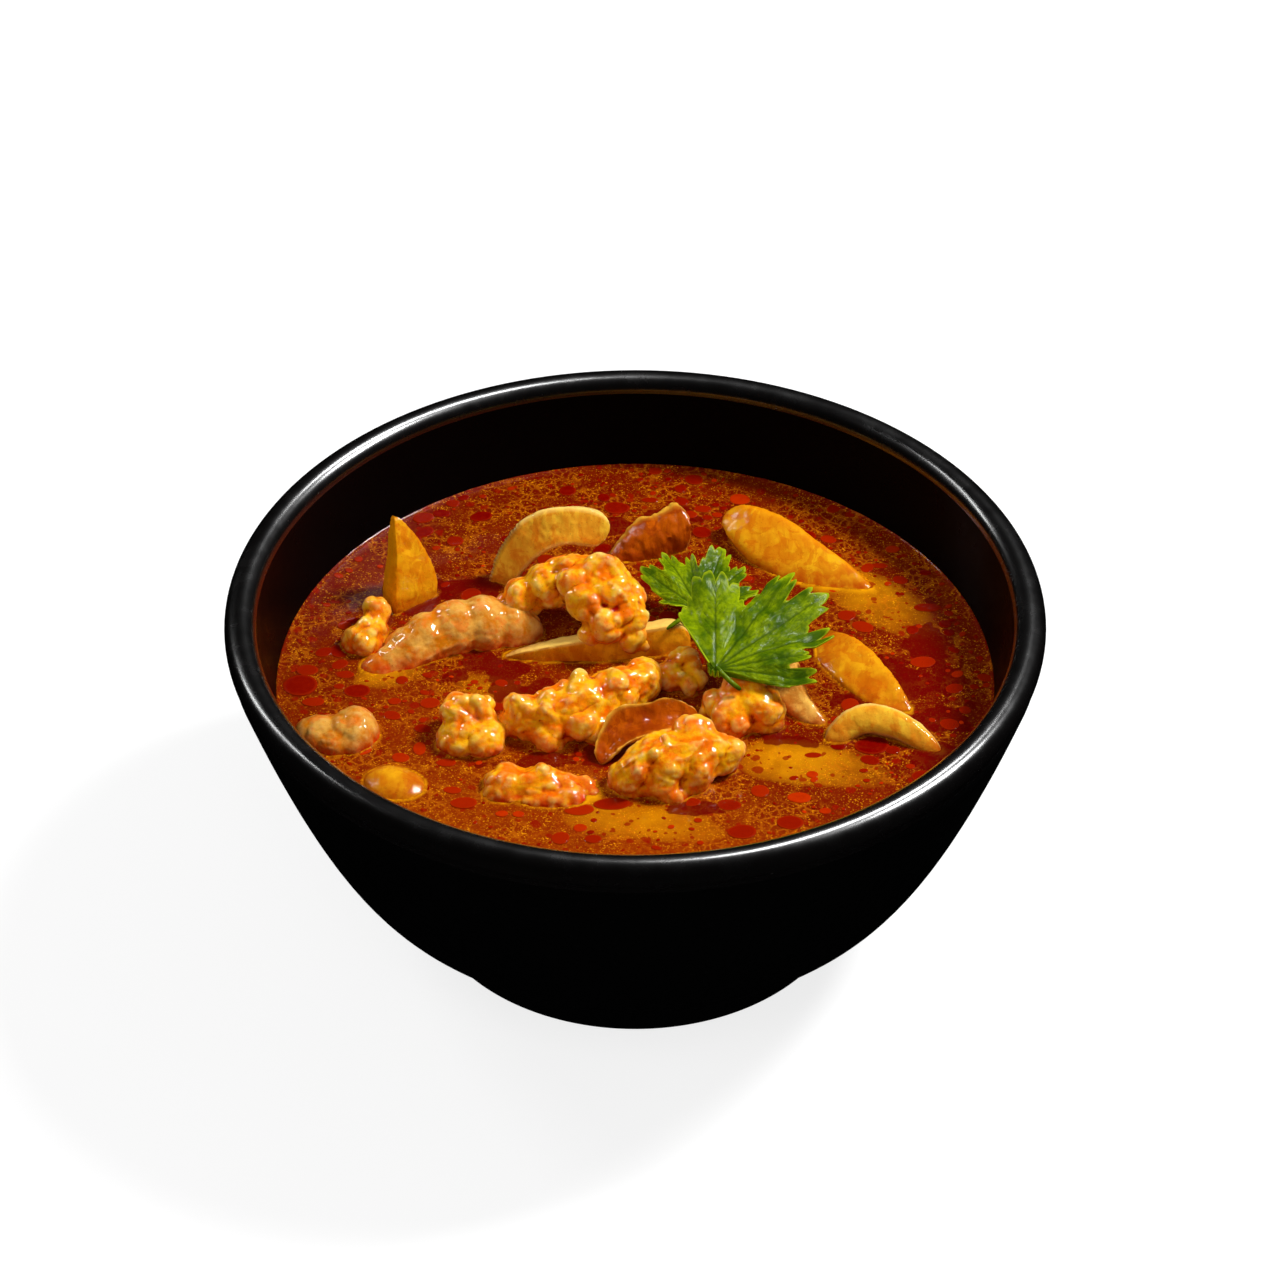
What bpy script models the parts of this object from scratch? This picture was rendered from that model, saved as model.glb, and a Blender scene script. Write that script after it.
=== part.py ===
"""A bowl of tom yum soup: a black round bowl, its broth and every piece that stands out of the broth.

Sizes are in millimetres above a table at z = 0, with the bowl's axis on the Z axis and the
eater's side at -Y. Heights of the food are given above the broth's level.
"""

import math

import bmesh
import bpy
from mathutils import Vector

MM = 0.001

# The bowl.
RIM_RADIUS = 90.0
BOWL_HEIGHT = 83.5
LIP_RADIUS = 3.5
GROOVE_DEPTH = 0.7
SHOULDER_RADIUS = 62.5
SHOULDER_HEIGHT = 19.5
BODY_FULLNESS = 0.66
FOOT_RADIUS = 49.0
FOOT_HEIGHT = 6.5
FOOT_WIDTH = 5.0
FOOT_RECESS = 4.0
FLOOR_HEIGHT = 10.0
WALL_CURVE = 1.36
WALL_FULLNESS = 4.0
WALL_SIDES = 48

# The broth; a pocket is cut a little wider than the piece that stands in it.
BROTH_LEVEL = 61.6
GAP = 0.35
POCKET_GAP = 0.95

# How the meat swells: knobs in a radian of its surface, and a lobe's length as a share of a strip's.
KNOB_TURNS = 5.0
LOBE_LENGTH = 0.09

# How finely the food is faceted; a pocket is coarser by one step than the piece in it.
LUMP_DETAIL = 3
STRIP_COARSENING = 3

# The garnish.
LEAF_THICKNESS = 0.6
LEAF_REACH = 30.0
BLADE_HALF_ANGLE = 80.0

COLOURS = {
    "bowl_black": ((0.004, 0.004, 0.004), 0.35),
    "broth_orange": ((0.40, 0.07, 0.004), 0.12),
    "mushroom_flesh": ((0.62, 0.31, 0.06), 0.35),
    "chicken_flesh": ((0.80, 0.36, 0.04), 0.35),
    "leaf_green": ((0.13, 0.25, 0.01), 0.40),
}


def clear_scene():
    """Remove everything that a new Blender file starts with."""
    for item in list(bpy.data.objects):
        bpy.data.objects.remove(item, do_unlink=True)


def material(name):
    """The named material, made on its first use."""
    if name in bpy.data.materials:
        return bpy.data.materials[name]
    colour, roughness = COLOURS[name]
    made = bpy.data.materials.new(name)
    made.use_nodes = True
    shader = made.node_tree.nodes["Principled BSDF"]
    shader.inputs["Base Color"].default_value = (*colour, 1.0)
    shader.inputs["Roughness"].default_value = roughness
    shader.inputs["Metallic"].default_value = 0.0
    return made


def add_object(name, mesh_tool, finish):
    """Turn a bmesh in millimetres into a smooth object in metres."""
    bmesh.ops.recalc_face_normals(mesh_tool, faces=mesh_tool.faces)
    bmesh.ops.scale(mesh_tool, vec=(MM, MM, MM), verts=mesh_tool.verts)
    mesh = bpy.data.meshes.new(name)
    mesh_tool.to_mesh(mesh)
    mesh_tool.free()
    mesh.shade_smooth()
    mesh.materials.append(material(finish))
    made = bpy.data.objects.new(name, mesh)
    bpy.context.scene.collection.objects.link(made)
    return made


def place(point):
    """A point given above the broth's level, in the part's own frame."""
    return Vector((point[0], point[1], point[2] + BROTH_LEVEL))


# ---------------------------------------------------------------- bowl and broth

def body_radius(height):
    """Outer radius of the bowl's body, which swells out from the shoulder to the lip."""
    top = BOWL_HEIGHT - 2.0 * LIP_RADIUS
    rise = max(0.0, height - SHOULDER_HEIGHT) / (top - SHOULDER_HEIGHT)
    swell = RIM_RADIUS - GROOVE_DEPTH - SHOULDER_RADIUS
    return SHOULDER_RADIUS + swell * min(1.0, rise) ** BODY_FULLNESS


def inner_radius(height):
    """Inner radius of the bowl's wall, a superellipse from the floor's middle to the lip."""
    top = BOWL_HEIGHT - LIP_RADIUS
    rise = min(1.0, max(0.0, (height - FLOOR_HEIGHT) / (top - FLOOR_HEIGHT)))
    lip = RIM_RADIUS - 2.0 * LIP_RADIUS
    return lip * (1.0 - (1.0 - rise) ** WALL_CURVE) ** (1.0 / WALL_FULLNESS)


def wall_points():
    """Points (r, z) down the inside of the bowl, from under the lip to the floor's edge."""
    steps = 6
    top = BOWL_HEIGHT - LIP_RADIUS
    shares = [(1.0 - step / (steps + 1)) ** 1.9 for step in range(1, steps + 1)]
    heights = [FLOOR_HEIGHT + (top - FLOOR_HEIGHT) * share for share in shares]
    return [(inner_radius(height), height) for height in heights]


def arc(centre, radius, start, end, steps):
    """Points (r, z) on an arc, with its angles in degrees."""
    points = []
    for step in range(steps + 1):
        angle = math.radians(start + (end - start) * step / steps)
        points.append((centre[0] + radius * math.cos(angle), centre[1] + radius * math.sin(angle)))
    return points


def bowl_profile():
    """The turned outline of the bowl, from the underside's middle round the lip to the floor."""
    foot_inside = FOOT_RADIUS - FOOT_WIDTH
    points = [(0.0, FOOT_RECESS), (foot_inside - 1.0, FOOT_RECESS), (foot_inside, FOOT_RECESS - 1.0)]
    points += [(foot_inside, 0.0), (FOOT_RADIUS - 0.8, 0.0), (FOOT_RADIUS, 0.8), (FOOT_RADIUS, FOOT_HEIGHT)]
    points += [(SHOULDER_RADIUS - 5.0, SHOULDER_HEIGHT - 6.0), (SHOULDER_RADIUS - 1.0, SHOULDER_HEIGHT - 1.6)]
    body_top = BOWL_HEIGHT - 2.0 * LIP_RADIUS
    body_steps = 5
    for step in range(1, body_steps + 1):
        share = (step / body_steps) ** 1.35
        height = SHOULDER_HEIGHT + (body_top - 0.6 - SHOULDER_HEIGHT) * share
        points.append((body_radius(height), height))
    lip_centre = (RIM_RADIUS - LIP_RADIUS, BOWL_HEIGHT - LIP_RADIUS)
    points += arc(lip_centre, LIP_RADIUS, -60.0, 180.0, 8)
    points += wall_points()
    points.append((0.0, FLOOR_HEIGHT))
    return points


def turned(name, profile, finish):
    """A solid of revolution about Z from an outline that starts and ends on the axis."""
    tool = bmesh.new()
    ring = [tool.verts.new((radius, 0.0, height)) for radius, height in profile]
    edges = [tool.edges.new(pair) for pair in zip(ring, ring[1:])]
    bmesh.ops.spin(
        tool, geom=ring + edges, axis=(0, 0, 1), cent=(0, 0, 0),
        angle=2.0 * math.pi, steps=WALL_SIDES, use_duplicate=False,
    )
    bmesh.ops.remove_doubles(tool, verts=tool.verts, dist=0.001)
    return add_object(name, tool, finish)


def broth_profile():
    """The broth's outline: the bowl's inner wall less a gap, up to a level top."""
    points = [(0.0, FLOOR_HEIGHT + GAP)]
    wall = [point for point in reversed(wall_points()) if point[1] < BROTH_LEVEL]
    points += [(radius - GAP, height + GAP) for radius, height in wall]
    points += [(inner_radius(BROTH_LEVEL) - 1.5 * GAP, BROTH_LEVEL), (0.0, BROTH_LEVEL)]
    return points


# ---------------------------------------------------------------- food shapes

def lobe_swell(direction, lobes):
    """How far a lumpy piece swells along a direction, as a share of its half size."""
    swell = 0.0
    for turn, tilt, height, width in lobes:
        turn, tilt = math.radians(turn), math.radians(tilt)
        middle = Vector((math.cos(turn) * math.cos(tilt), math.sin(turn) * math.cos(tilt), math.sin(tilt)))
        angle = math.degrees(direction.angle(middle))
        swell += height * math.exp(-((angle / width) ** 2))
    return swell


def lump(centre, half_sizes, turn, knobs, lobes, coarse, grow):
    """A lumpy chunk: a sphere swollen by knobs and lobes (turn, tilt, height, width), then stretched."""
    tool = bmesh.new()
    bmesh.ops.create_icosphere(tool, subdivisions=LUMP_DETAIL - coarse, radius=1.0)
    middle = place(centre)
    cos_turn, sin_turn = math.cos(math.radians(turn)), math.sin(math.radians(turn))
    for vert in tool.verts:
        direction = vert.co.normalized()
        reach = 1.0 + lobe_swell(direction, lobes)
        reach += knobs * sum(math.sin(KNOB_TURNS * axis + centre[0]) for axis in direction)
        x = direction.x * (half_sizes[0] * reach + grow)
        y = direction.y * (half_sizes[1] * reach + grow)
        z = direction.z * (half_sizes[2] * reach + grow)
        vert.co = middle + Vector((x * cos_turn - y * sin_turn, x * sin_turn + y * cos_turn, z))
    return tool


def bend_point(points, t):
    """A point on the curve from the first point to the last that bends towards the middle one."""
    start, bend, end = points
    return start * (1 - t) ** 2 + bend * 2 * t * (1 - t) + end * t ** 2


def bend_tangent(points, t):
    """The direction of that curve."""
    start, bend, end = points
    return ((bend - start) * 2 * (1 - t) + (end - bend) * 2 * t).normalized()


def end_taper(t, widest, blunt_start, blunt_end):
    """Width along a piece, 1 at its widest place and 0 at both tips."""
    if t < widest:
        share, blunt = 1.0 - t / widest, blunt_start
    else:
        share, blunt = (t - widest) / (1.0 - widest), blunt_end
    return max(0.0, 1.0 - share ** blunt) ** (1.0 / min(blunt, 2.0))


def sweep(spine, width, thickness, face, widest, blunt, lobes, knobs, rings, sides, squareness, coarse, grow):
    """A strip or slice along a bent spine; face is the direction that its flat side looks."""
    tool = bmesh.new()
    points = [place(point) for point in spine]
    loops = []
    rings -= STRIP_COARSENING * coarse
    for ring in range(1, rings):
        t = 0.5 - 0.5 * math.cos(math.pi * ring / rings)
        centre = bend_point(points, t)
        along = bend_tangent(points, t)
        out = Vector(face)
        out = (out - along * out.dot(along)).normalized()
        across = along.cross(out)
        taper = end_taper(t, widest, blunt[0], blunt[1])
        loop = []
        for side in range(sides):
            angle = 2.0 * math.pi * side / sides
            cosine, sine = math.cos(angle), math.sin(angle)
            square = (abs(cosine) ** squareness + abs(sine) ** squareness) ** (-1.0 / squareness)
            swell = 1.0
            for place_t, place_angle, height, spread in lobes:
                turn = (math.degrees(angle) - place_angle + 180.0) % 360.0 - 180.0
                swell += height * math.exp(-((t - place_t) / LOBE_LENGTH) ** 2 - (turn / spread) ** 2)
            swell += knobs * math.sin(4.0 * KNOB_TURNS * t) * math.cos(3.0 * angle)
            reach_across = 0.5 * width * taper * square * swell + grow
            reach_out = 0.5 * thickness * taper ** 0.5 * square * swell + grow
            loop.append(tool.verts.new(centre + across * cosine * reach_across + out * sine * reach_out))
        loops.append(loop)
    for first, second in zip(loops, loops[1:]):
        for side in range(sides):
            after = (side + 1) % sides
            tool.faces.new((first[side], first[after], second[after], second[side]))
    tips = (bend_point(points, 0.0) - bend_tangent(points, 0.0) * grow,
            bend_point(points, 1.0) + bend_tangent(points, 1.0) * grow)
    for tip, loop in zip(tips, (loops[0], loops[-1])):
        end = tool.verts.new(tip)
        for side in range(sides):
            tool.faces.new((loop[side], loop[(side + 1) % sides], end))
    return tool


def leaf_reach(angle, lobes, tooth_count):
    """Reach of a coriander leaf from its stalk, with angle 0 along the leaf's middle."""
    reach = 2.2
    for middle, length, half_width in lobes:
        off = abs(angle - middle) / half_width
        if off < 1.0:
            reach = max(reach, length * (1.0 - off ** 2.4) ** 0.5)
        reach = max(reach, 0.62 * length * max(0.0, 1.0 - off / 2.2))
    return reach * (1.0 + 0.04 * math.cos(math.radians(angle) * tooth_count))


def leaf_angles():
    """Directions round a leaf's outline: close together over the blade, few behind the stalk."""
    blade_steps, back_steps = 40, 5
    blade = 2.0 * BLADE_HALF_ANGLE
    back = 360.0 - blade
    angles = [-BLADE_HALF_ANGLE + blade * step / blade_steps for step in range(blade_steps + 1)]
    angles += [BLADE_HALF_ANGLE + back * step / (back_steps + 1) for step in range(1, back_steps + 1)]
    return angles


def leaf_sheet(tool, base, turn, lobes, cup, lean, tooth_count, lift):
    """One face of a leaf, as a fan of rings; its outer ring is given back."""
    angles = leaf_angles()
    rings = 2
    loops = []
    for ring in range(1, rings + 1):
        loop = []
        for angle in angles:
            reach = leaf_reach(angle, lobes, tooth_count) * ring / rings
            heading = math.radians(angle + turn)
            x, y = reach * math.cos(heading), reach * math.sin(heading)
            z = cup * (reach / LEAF_REACH) ** 2 + lean[0] * x + lean[1] * y + lift
            loop.append(tool.verts.new(base + Vector((x, y, z))))
        loops.append(loop)
    centre = tool.verts.new(base + Vector((0.0, 0.0, lift)))
    for step in range(len(angles)):
        after = (step + 1) % len(angles)
        tool.faces.new((loops[0][step], loops[0][after], centre))
        for inside, outside in zip(loops, loops[1:]):
            tool.faces.new((inside[step], inside[after], outside[after], outside[step]))
    return loops[-1]


def leaf(stalk, turn, lobes, cup, lean, tooth_count):
    """A thin lobed leaf that spreads from its stalk, cupped and leaning."""
    tool = bmesh.new()
    shape = (place(stalk), turn, lobes, cup, lean, tooth_count)
    top = leaf_sheet(tool, *shape, 0.5 * LEAF_THICKNESS)
    bottom = leaf_sheet(tool, *shape, -0.5 * LEAF_THICKNESS)
    for step in range(len(top)):
        after = (step + 1) % len(top)
        tool.faces.new((top[step], top[after], bottom[after], bottom[step]))
    return tool


# ---------------------------------------------------------------- the pieces of food

LUMPS = {
    "chicken_knob_left": dict(
        centre=(-59.6, 14.6, 0.6), half_sizes=(4.0, 5.6, 5.4), turn=-20, knobs=0.05,
        lobes=[(70, 35, 0.22, 38), (-80, 20, 0.16, 34)]),
    "chicken_chunk_small": dict(
        centre=(-36.2, -21.2, 0.8), half_sizes=(5.8, 4.8, 6.4), turn=8, knobs=0.06,
        lobes=[(125, 40, 0.26, 32), (40, 48, 0.24, 30), (-60, 25, 0.18, 30), (190, -10, 0.16, 34)]),
    "chicken_chunk_shaded": dict(
        centre=(10.2, -0.6, 0.8), half_sizes=(4.5, 4.4, 5.4), turn=25, knobs=0.06,
        lobes=[(30, 50, 0.20, 34), (200, 30, 0.22, 34), (-80, 10, 0.15, 34)]),
    "chicken_chunk_right": dict(
        centre=(24.8, -14.4, 2.2), half_sizes=(6.8, 5.4, 6.9), turn=0, knobs=0.05,
        lobes=[(100, 52, 0.20, 34), (-50, 30, 0.20, 36), (10, 20, 0.16, 32), (185, 0, 0.20, 26)]),
    "mushroom_back": dict(
        centre=(3.8, 45.0, 0.0), half_sizes=(7.6, 4.2, 5.0), turn=16, knobs=0.0,
        lobes=[(15, 48, 0.60, 34), (180, 0, 0.18, 34)]),
    "chicken_chunk_rim": dict(
        centre=(-64.8, -21.2, -0.6), half_sizes=(5.8, 7.2, 4.4), turn=14, knobs=0.04,
        lobes=[(160, 25, 0.26, 40), (-5, 35, 0.22, 34)]),
    "mushroom_cap_rim": dict(
        centre=(-51.6, -37.2, -1.0), half_sizes=(6.2, 5.2, 3.6), turn=-15, knobs=0.0,
        lobes=[(100, 30, 0.12, 45)]),
}

STRIPS = {
    "mushroom_wedge": dict(
        spine=((-52.4, 25.4, -7.0), (-49.0, 29.2, 6.0), (-54.6, 34.2, 19.4)),
        width=12.2, thickness=5.0, face=(0.66, -0.70, 0.30), widest=0.42, blunt=(2.0, 1.25),
        lobes=[], knobs=0.0, rings=9, sides=8, squareness=3.2),
    "chicken_strip": dict(
        spine=((-59.4, 0.4, -4.4), (-44.4, 15.4, 8.6), (-23.4, 16.4, 0.6)),
        width=11.6, thickness=7.6, face=(0.10, -0.45, 0.88), widest=0.50, blunt=(2.4, 2.4),
        lobes=[(0.30, 90, 0.10, 50), (0.72, 60, 0.12, 50)], knobs=0.04, rings=11, sides=10, squareness=2.4),
    "mushroom_arch": dict(
        spine=((-31.8, 35.0, -5.0), (-21.4, 37.0, 25.4), (-3.4, 38.4, 1.0)),
        width=6.0, thickness=3.6, face=(-0.15, -0.85, 0.50), widest=0.50, blunt=(2.6, 2.6),
        lobes=[], knobs=0.0, rings=11, sides=8, squareness=2.8),
    "chicken_curl": dict(
        spine=((-29.6, 22.4, 3.2), (-14.6, 29.6, 16.0), (0.8, 10.2, 7.6)),
        width=13.4, thickness=13.0, face=(0.0, -0.5, 0.86), widest=0.72, blunt=(1.15, 2.4),
        lobes=[(0.50, 90, 0.16, 42), (0.68, 40, 0.16, 36), (0.74, 140, 0.16, 36), (0.86, 85, 0.18, 40)],
        knobs=0.10, rings=14, sides=12, squareness=2.0),
    "mushroom_slice_middle": dict(
        spine=((-29.4, 6.8, -0.8), (-8.0, 6.6, -0.6), (11.4, 12.6, 2.4)),
        width=9.0, thickness=2.9, face=(-0.05, -0.34, 0.94), widest=0.55, blunt=(1.7, 2.6),
        lobes=[], knobs=0.0, rings=10, sides=8, squareness=3.0),
    "mushroom_strip_back": dict(
        spine=((21.4, 54.6, 3.4), (31.4, 44.2, 3.4), (57.0, 25.4, -5.6)),
        width=12.8, thickness=5.0, face=(-0.30, -0.35, 0.88), widest=0.50, blunt=(2.6, 2.4),
        lobes=[], knobs=0.0, rings=10, sides=8, squareness=2.6),
    "mushroom_slice_right": dict(
        spine=((42.6, 15.6, -1.4), (46.8, 1.0, 2.4), (60.4, -13.4, -1.2)),
        width=12.4, thickness=4.0, face=(-0.22, -0.15, 0.95), widest=0.48, blunt=(2.4, 2.0),
        lobes=[], knobs=0.0, rings=9, sides=8, squareness=2.8),
    "mushroom_slice_small": dict(
        spine=((35.2, 3.4, 0.6), (30.4, -8.4, 1.2), (41.4, -16.0, -1.2)),
        width=5.8, thickness=5.0, face=(-0.30, -0.30, 0.90), widest=0.50, blunt=(2.4, 2.0),
        lobes=[], knobs=0.0, rings=8, sides=8, squareness=2.6),
    "mushroom_slice_front": dict(
        spine=((41.8, -22.4, -2.4), (51.2, -12.4, 6.6), (67.0, -26.6, -2.4)),
        width=5.4, thickness=5.0, face=(0.0, -0.85, 0.45), widest=0.45, blunt=(2.6, 2.2),
        lobes=[], knobs=0.0, rings=10, sides=8, squareness=2.6),
    "chicken_centre": dict(
        spine=((-28.4, -19.2, 0.6), (-10.6, -20.4, 6.2), (3.8, -4.8, 4.0)),
        width=12.4, thickness=12.6, face=(0.0, -0.35, 0.92), widest=0.55, blunt=(2.4, 2.4),
        lobes=[(0.14, 90, 0.16, 50), (0.34, 70, 0.14, 40), (0.52, 120, 0.16, 40), (0.70, 60, 0.16, 40),
               (0.86, 110, 0.14, 40)],
        knobs=0.10, rings=15, sides=12, squareness=2.0),
    "mushroom_flap": dict(
        spine=((-7.0, -30.2, 0.6), (-2.6, -20.8, 4.8), (13.2, -19.4, 3.4)),
        width=8.4, thickness=2.2, face=(-0.25, -0.62, 0.74), widest=0.50, blunt=(1.8, 2.2),
        lobes=[], knobs=0.0, rings=9, sides=8, squareness=2.8),
    "chicken_front": dict(
        spine=((-4.8, -38.0, 0.4), (8.4, -34.8, 8.0), (22.6, -29.8, 1.6)),
        width=12.2, thickness=12.4, face=(0.0, -0.30, 0.95), widest=0.50, blunt=(2.4, 2.4),
        lobes=[(0.20, 90, 0.12, 45), (0.44, 120, 0.14, 40), (0.70, 80, 0.18, 40), (0.52, 50, 0.10, 36)],
        knobs=0.10, rings=13, sides=12, squareness=2.0),
    "chicken_chunk_sunk": dict(
        spine=((-31.4, -38.6, -2.6), (-20.0, -36.8, 1.4), (-7.4, -42.0, -4.0)),
        width=13.0, thickness=9.2, face=(0.0, -0.15, 0.98), widest=0.40, blunt=(2.6, 2.4),
        lobes=[(0.20, 90, 0.14, 50), (0.60, 100, 0.10, 50)], knobs=0.04, rings=10, sides=10, squareness=2.2),
}

LEAVES = {
    "coriander_leaf_front": dict(
        stalk=(16.7, -12.9, 13.2), turn=50.0, cup=-1.6, lean=(0.0, 0.30), tooth_count=34,
        lobes=[(33.0, 23.0, 30.0), (8.0, 30.0, 12.5), (-8.0, 32.0, 12.0), (-25.0, 29.0, 10.0),
               (-42.0, 22.0, 12.0)]),
    "coriander_leaf_back": dict(
        stalk=(12.7, 13.0, 7.2), turn=76.0, cup=0.8, lean=(0.0, 0.20), tooth_count=34,
        lobes=[(58.0, 16.5, 16.0), (34.0, 19.0, 14.0), (0.0, 20.5, 18.0), (-26.0, 18.5, 14.0),
               (-50.0, 16.0, 15.0)]),
}


def finish_of(name):
    """Each piece of food takes its material from the first word of its name."""
    return {"chicken": "chicken_flesh", "mushroom": "mushroom_flesh"}[name.split("_")[0]]


def build_pieces():
    """Every piece of meat and mushroom, and for each the pocket that it sits in."""
    pockets = []
    for shape, pieces in ((lump, LUMPS), (sweep, STRIPS)):
        for name, facts in pieces.items():
            add_object(name, shape(**facts, coarse=0, grow=0.0), finish_of(name))
            pocket = shape(**facts, coarse=1, grow=POCKET_GAP)
            pockets.append(add_object(name + "_pocket", pocket, "broth_orange"))
    return pockets


def cut_pockets(broth, pockets):
    """Cut the broth round each piece that stands in it."""
    for pocket in pockets:
        pocket.hide_render = True
        pocket.display_type = "WIRE"
        cut = broth.modifiers.new(pocket.name, "BOOLEAN")
        cut.operation = "DIFFERENCE"
        cut.solver = "EXACT"
        cut.object = pocket


def build():
    """Make the whole bowl of soup."""
    clear_scene()
    turned("bowl", bowl_profile(), "bowl_black")
    broth = turned("broth", broth_profile(), "broth_orange")
    cut_pockets(broth, build_pieces())
    for name, facts in LEAVES.items():
        add_object(name, leaf(**facts), "leaf_green")


build()
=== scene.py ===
import math
import random

import bpy
import numpy as np
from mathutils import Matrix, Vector, noise
from mathutils.bvhtree import BVHTree


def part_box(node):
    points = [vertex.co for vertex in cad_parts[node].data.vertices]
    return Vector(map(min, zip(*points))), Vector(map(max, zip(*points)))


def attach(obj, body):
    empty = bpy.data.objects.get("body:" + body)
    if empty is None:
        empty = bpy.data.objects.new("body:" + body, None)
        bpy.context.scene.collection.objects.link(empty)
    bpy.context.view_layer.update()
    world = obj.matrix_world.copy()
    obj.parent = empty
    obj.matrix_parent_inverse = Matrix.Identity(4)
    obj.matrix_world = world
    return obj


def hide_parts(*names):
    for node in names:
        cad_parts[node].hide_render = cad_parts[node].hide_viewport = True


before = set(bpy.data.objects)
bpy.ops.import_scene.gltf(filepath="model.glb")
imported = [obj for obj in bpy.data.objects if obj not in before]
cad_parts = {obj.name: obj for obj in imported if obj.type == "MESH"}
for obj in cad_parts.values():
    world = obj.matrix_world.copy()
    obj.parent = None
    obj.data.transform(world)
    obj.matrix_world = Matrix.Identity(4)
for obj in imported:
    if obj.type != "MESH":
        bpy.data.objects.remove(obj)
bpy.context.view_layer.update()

# All sizes below are millimetres; the food's heights are above the broth's level.
mm = 0.001
weldGap = 0.00001
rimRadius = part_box("bowl")[1].x / mm
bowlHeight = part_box("bowl")[1].z / mm
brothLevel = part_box("broth")[1].z / mm


def onSoup(point):
    return Vector((point[0], point[1], point[2] + brothLevel)) * mm


def activate(piece):
    bpy.ops.object.select_all(action="DESELECT")
    piece.select_set(True)
    bpy.context.view_layer.objects.active = piece


def editAll(piece):
    activate(piece)
    bpy.ops.object.mode_set(mode="EDIT")
    bpy.ops.mesh.select_all(action="SELECT")


def leaveEdit():
    bpy.ops.object.mode_set(mode="OBJECT")


def faceOut(piece):
    editAll(piece)
    bpy.ops.mesh.normals_make_consistent(inside=False)
    leaveEdit()


def weld(piece, gap=weldGap):
    # closes seams and poles
    editAll(piece)
    bpy.ops.mesh.remove_doubles(threshold=gap)
    leaveEdit()


def tidyMesh(piece):
    weld(piece)
    faceOut(piece)
    bpy.ops.object.shade_smooth()


def rename(piece, name):
    piece.name = name
    piece.data.name = name
    return piece


def joinInto(piece, others):
    if others:
        activate(piece)
        for other in others:
            other.select_set(True)
        bpy.ops.object.join()
    return piece


def finishPiece(piece, material, slot, *nodes):
    piece.data.materials.clear()
    piece.data.materials.append(material)
    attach(piece, "root")
    if nodes:
        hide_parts(*nodes)


def copyNode(node, name):
    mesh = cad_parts[node].data.copy()
    mesh.materials.clear()
    piece = bpy.data.objects.new(name, mesh)
    mesh.name = name
    bpy.context.scene.collection.objects.link(piece)
    weld(piece)
    return piece


def modify(piece, kind, **settings):
    modifier = piece.modifiers.new(kind.lower(), kind)
    for setting, value in settings.items():
        setattr(modifier, setting, value)
    activate(piece)
    bpy.ops.object.modifier_apply(modifier=modifier.name)


def smooth(piece, factor, times):
    modify(piece, "SMOOTH", factor=factor, iterations=times)


def displace(piece, size, height, kind, depth, middle):
    texture = bpy.data.textures.new("clouds", "CLOUDS")
    texture.noise_type = kind
    texture.noise_scale = size * mm
    texture.noise_depth = depth
    modify(piece, "DISPLACE", texture=texture, texture_coords="LOCAL", strength=height * mm,
           mid_level=middle)


def swell(piece, size, height):
    # pushes the surface out and in by soft bumps of the given size
    displace(piece, size, height, "SOFT_NOISE", 2, 0.5)


def fold(piece, size, height):
    # billows of the given size with sharp valleys between them
    displace(piece, size, height, "HARD_NOISE", 0, 0.35)


def readPoints(piece, what="co"):
    points = np.empty(len(piece.data.vertices) * 3)
    piece.data.vertices.foreach_get(what, points)
    return points.reshape(-1, 3)


def writePoints(piece, points):
    piece.data.vertices.foreach_set("co", points.reshape(-1))
    piece.data.update()


def storeValues(piece, name, values):
    layer = piece.data.attributes.new(name, "FLOAT", "POINT")
    layer.data.foreach_set("value", np.clip(values, 0.0, 1.0).astype(np.float32))


def colour(red, green, blue):
    parts = []
    for value in (red, green, blue):
        share = value / 255.0
        parts.append(share / 12.92 if share <= 0.04045 else ((share + 0.055) / 1.055) ** 2.4)
    return (*parts, 1.0)


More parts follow.
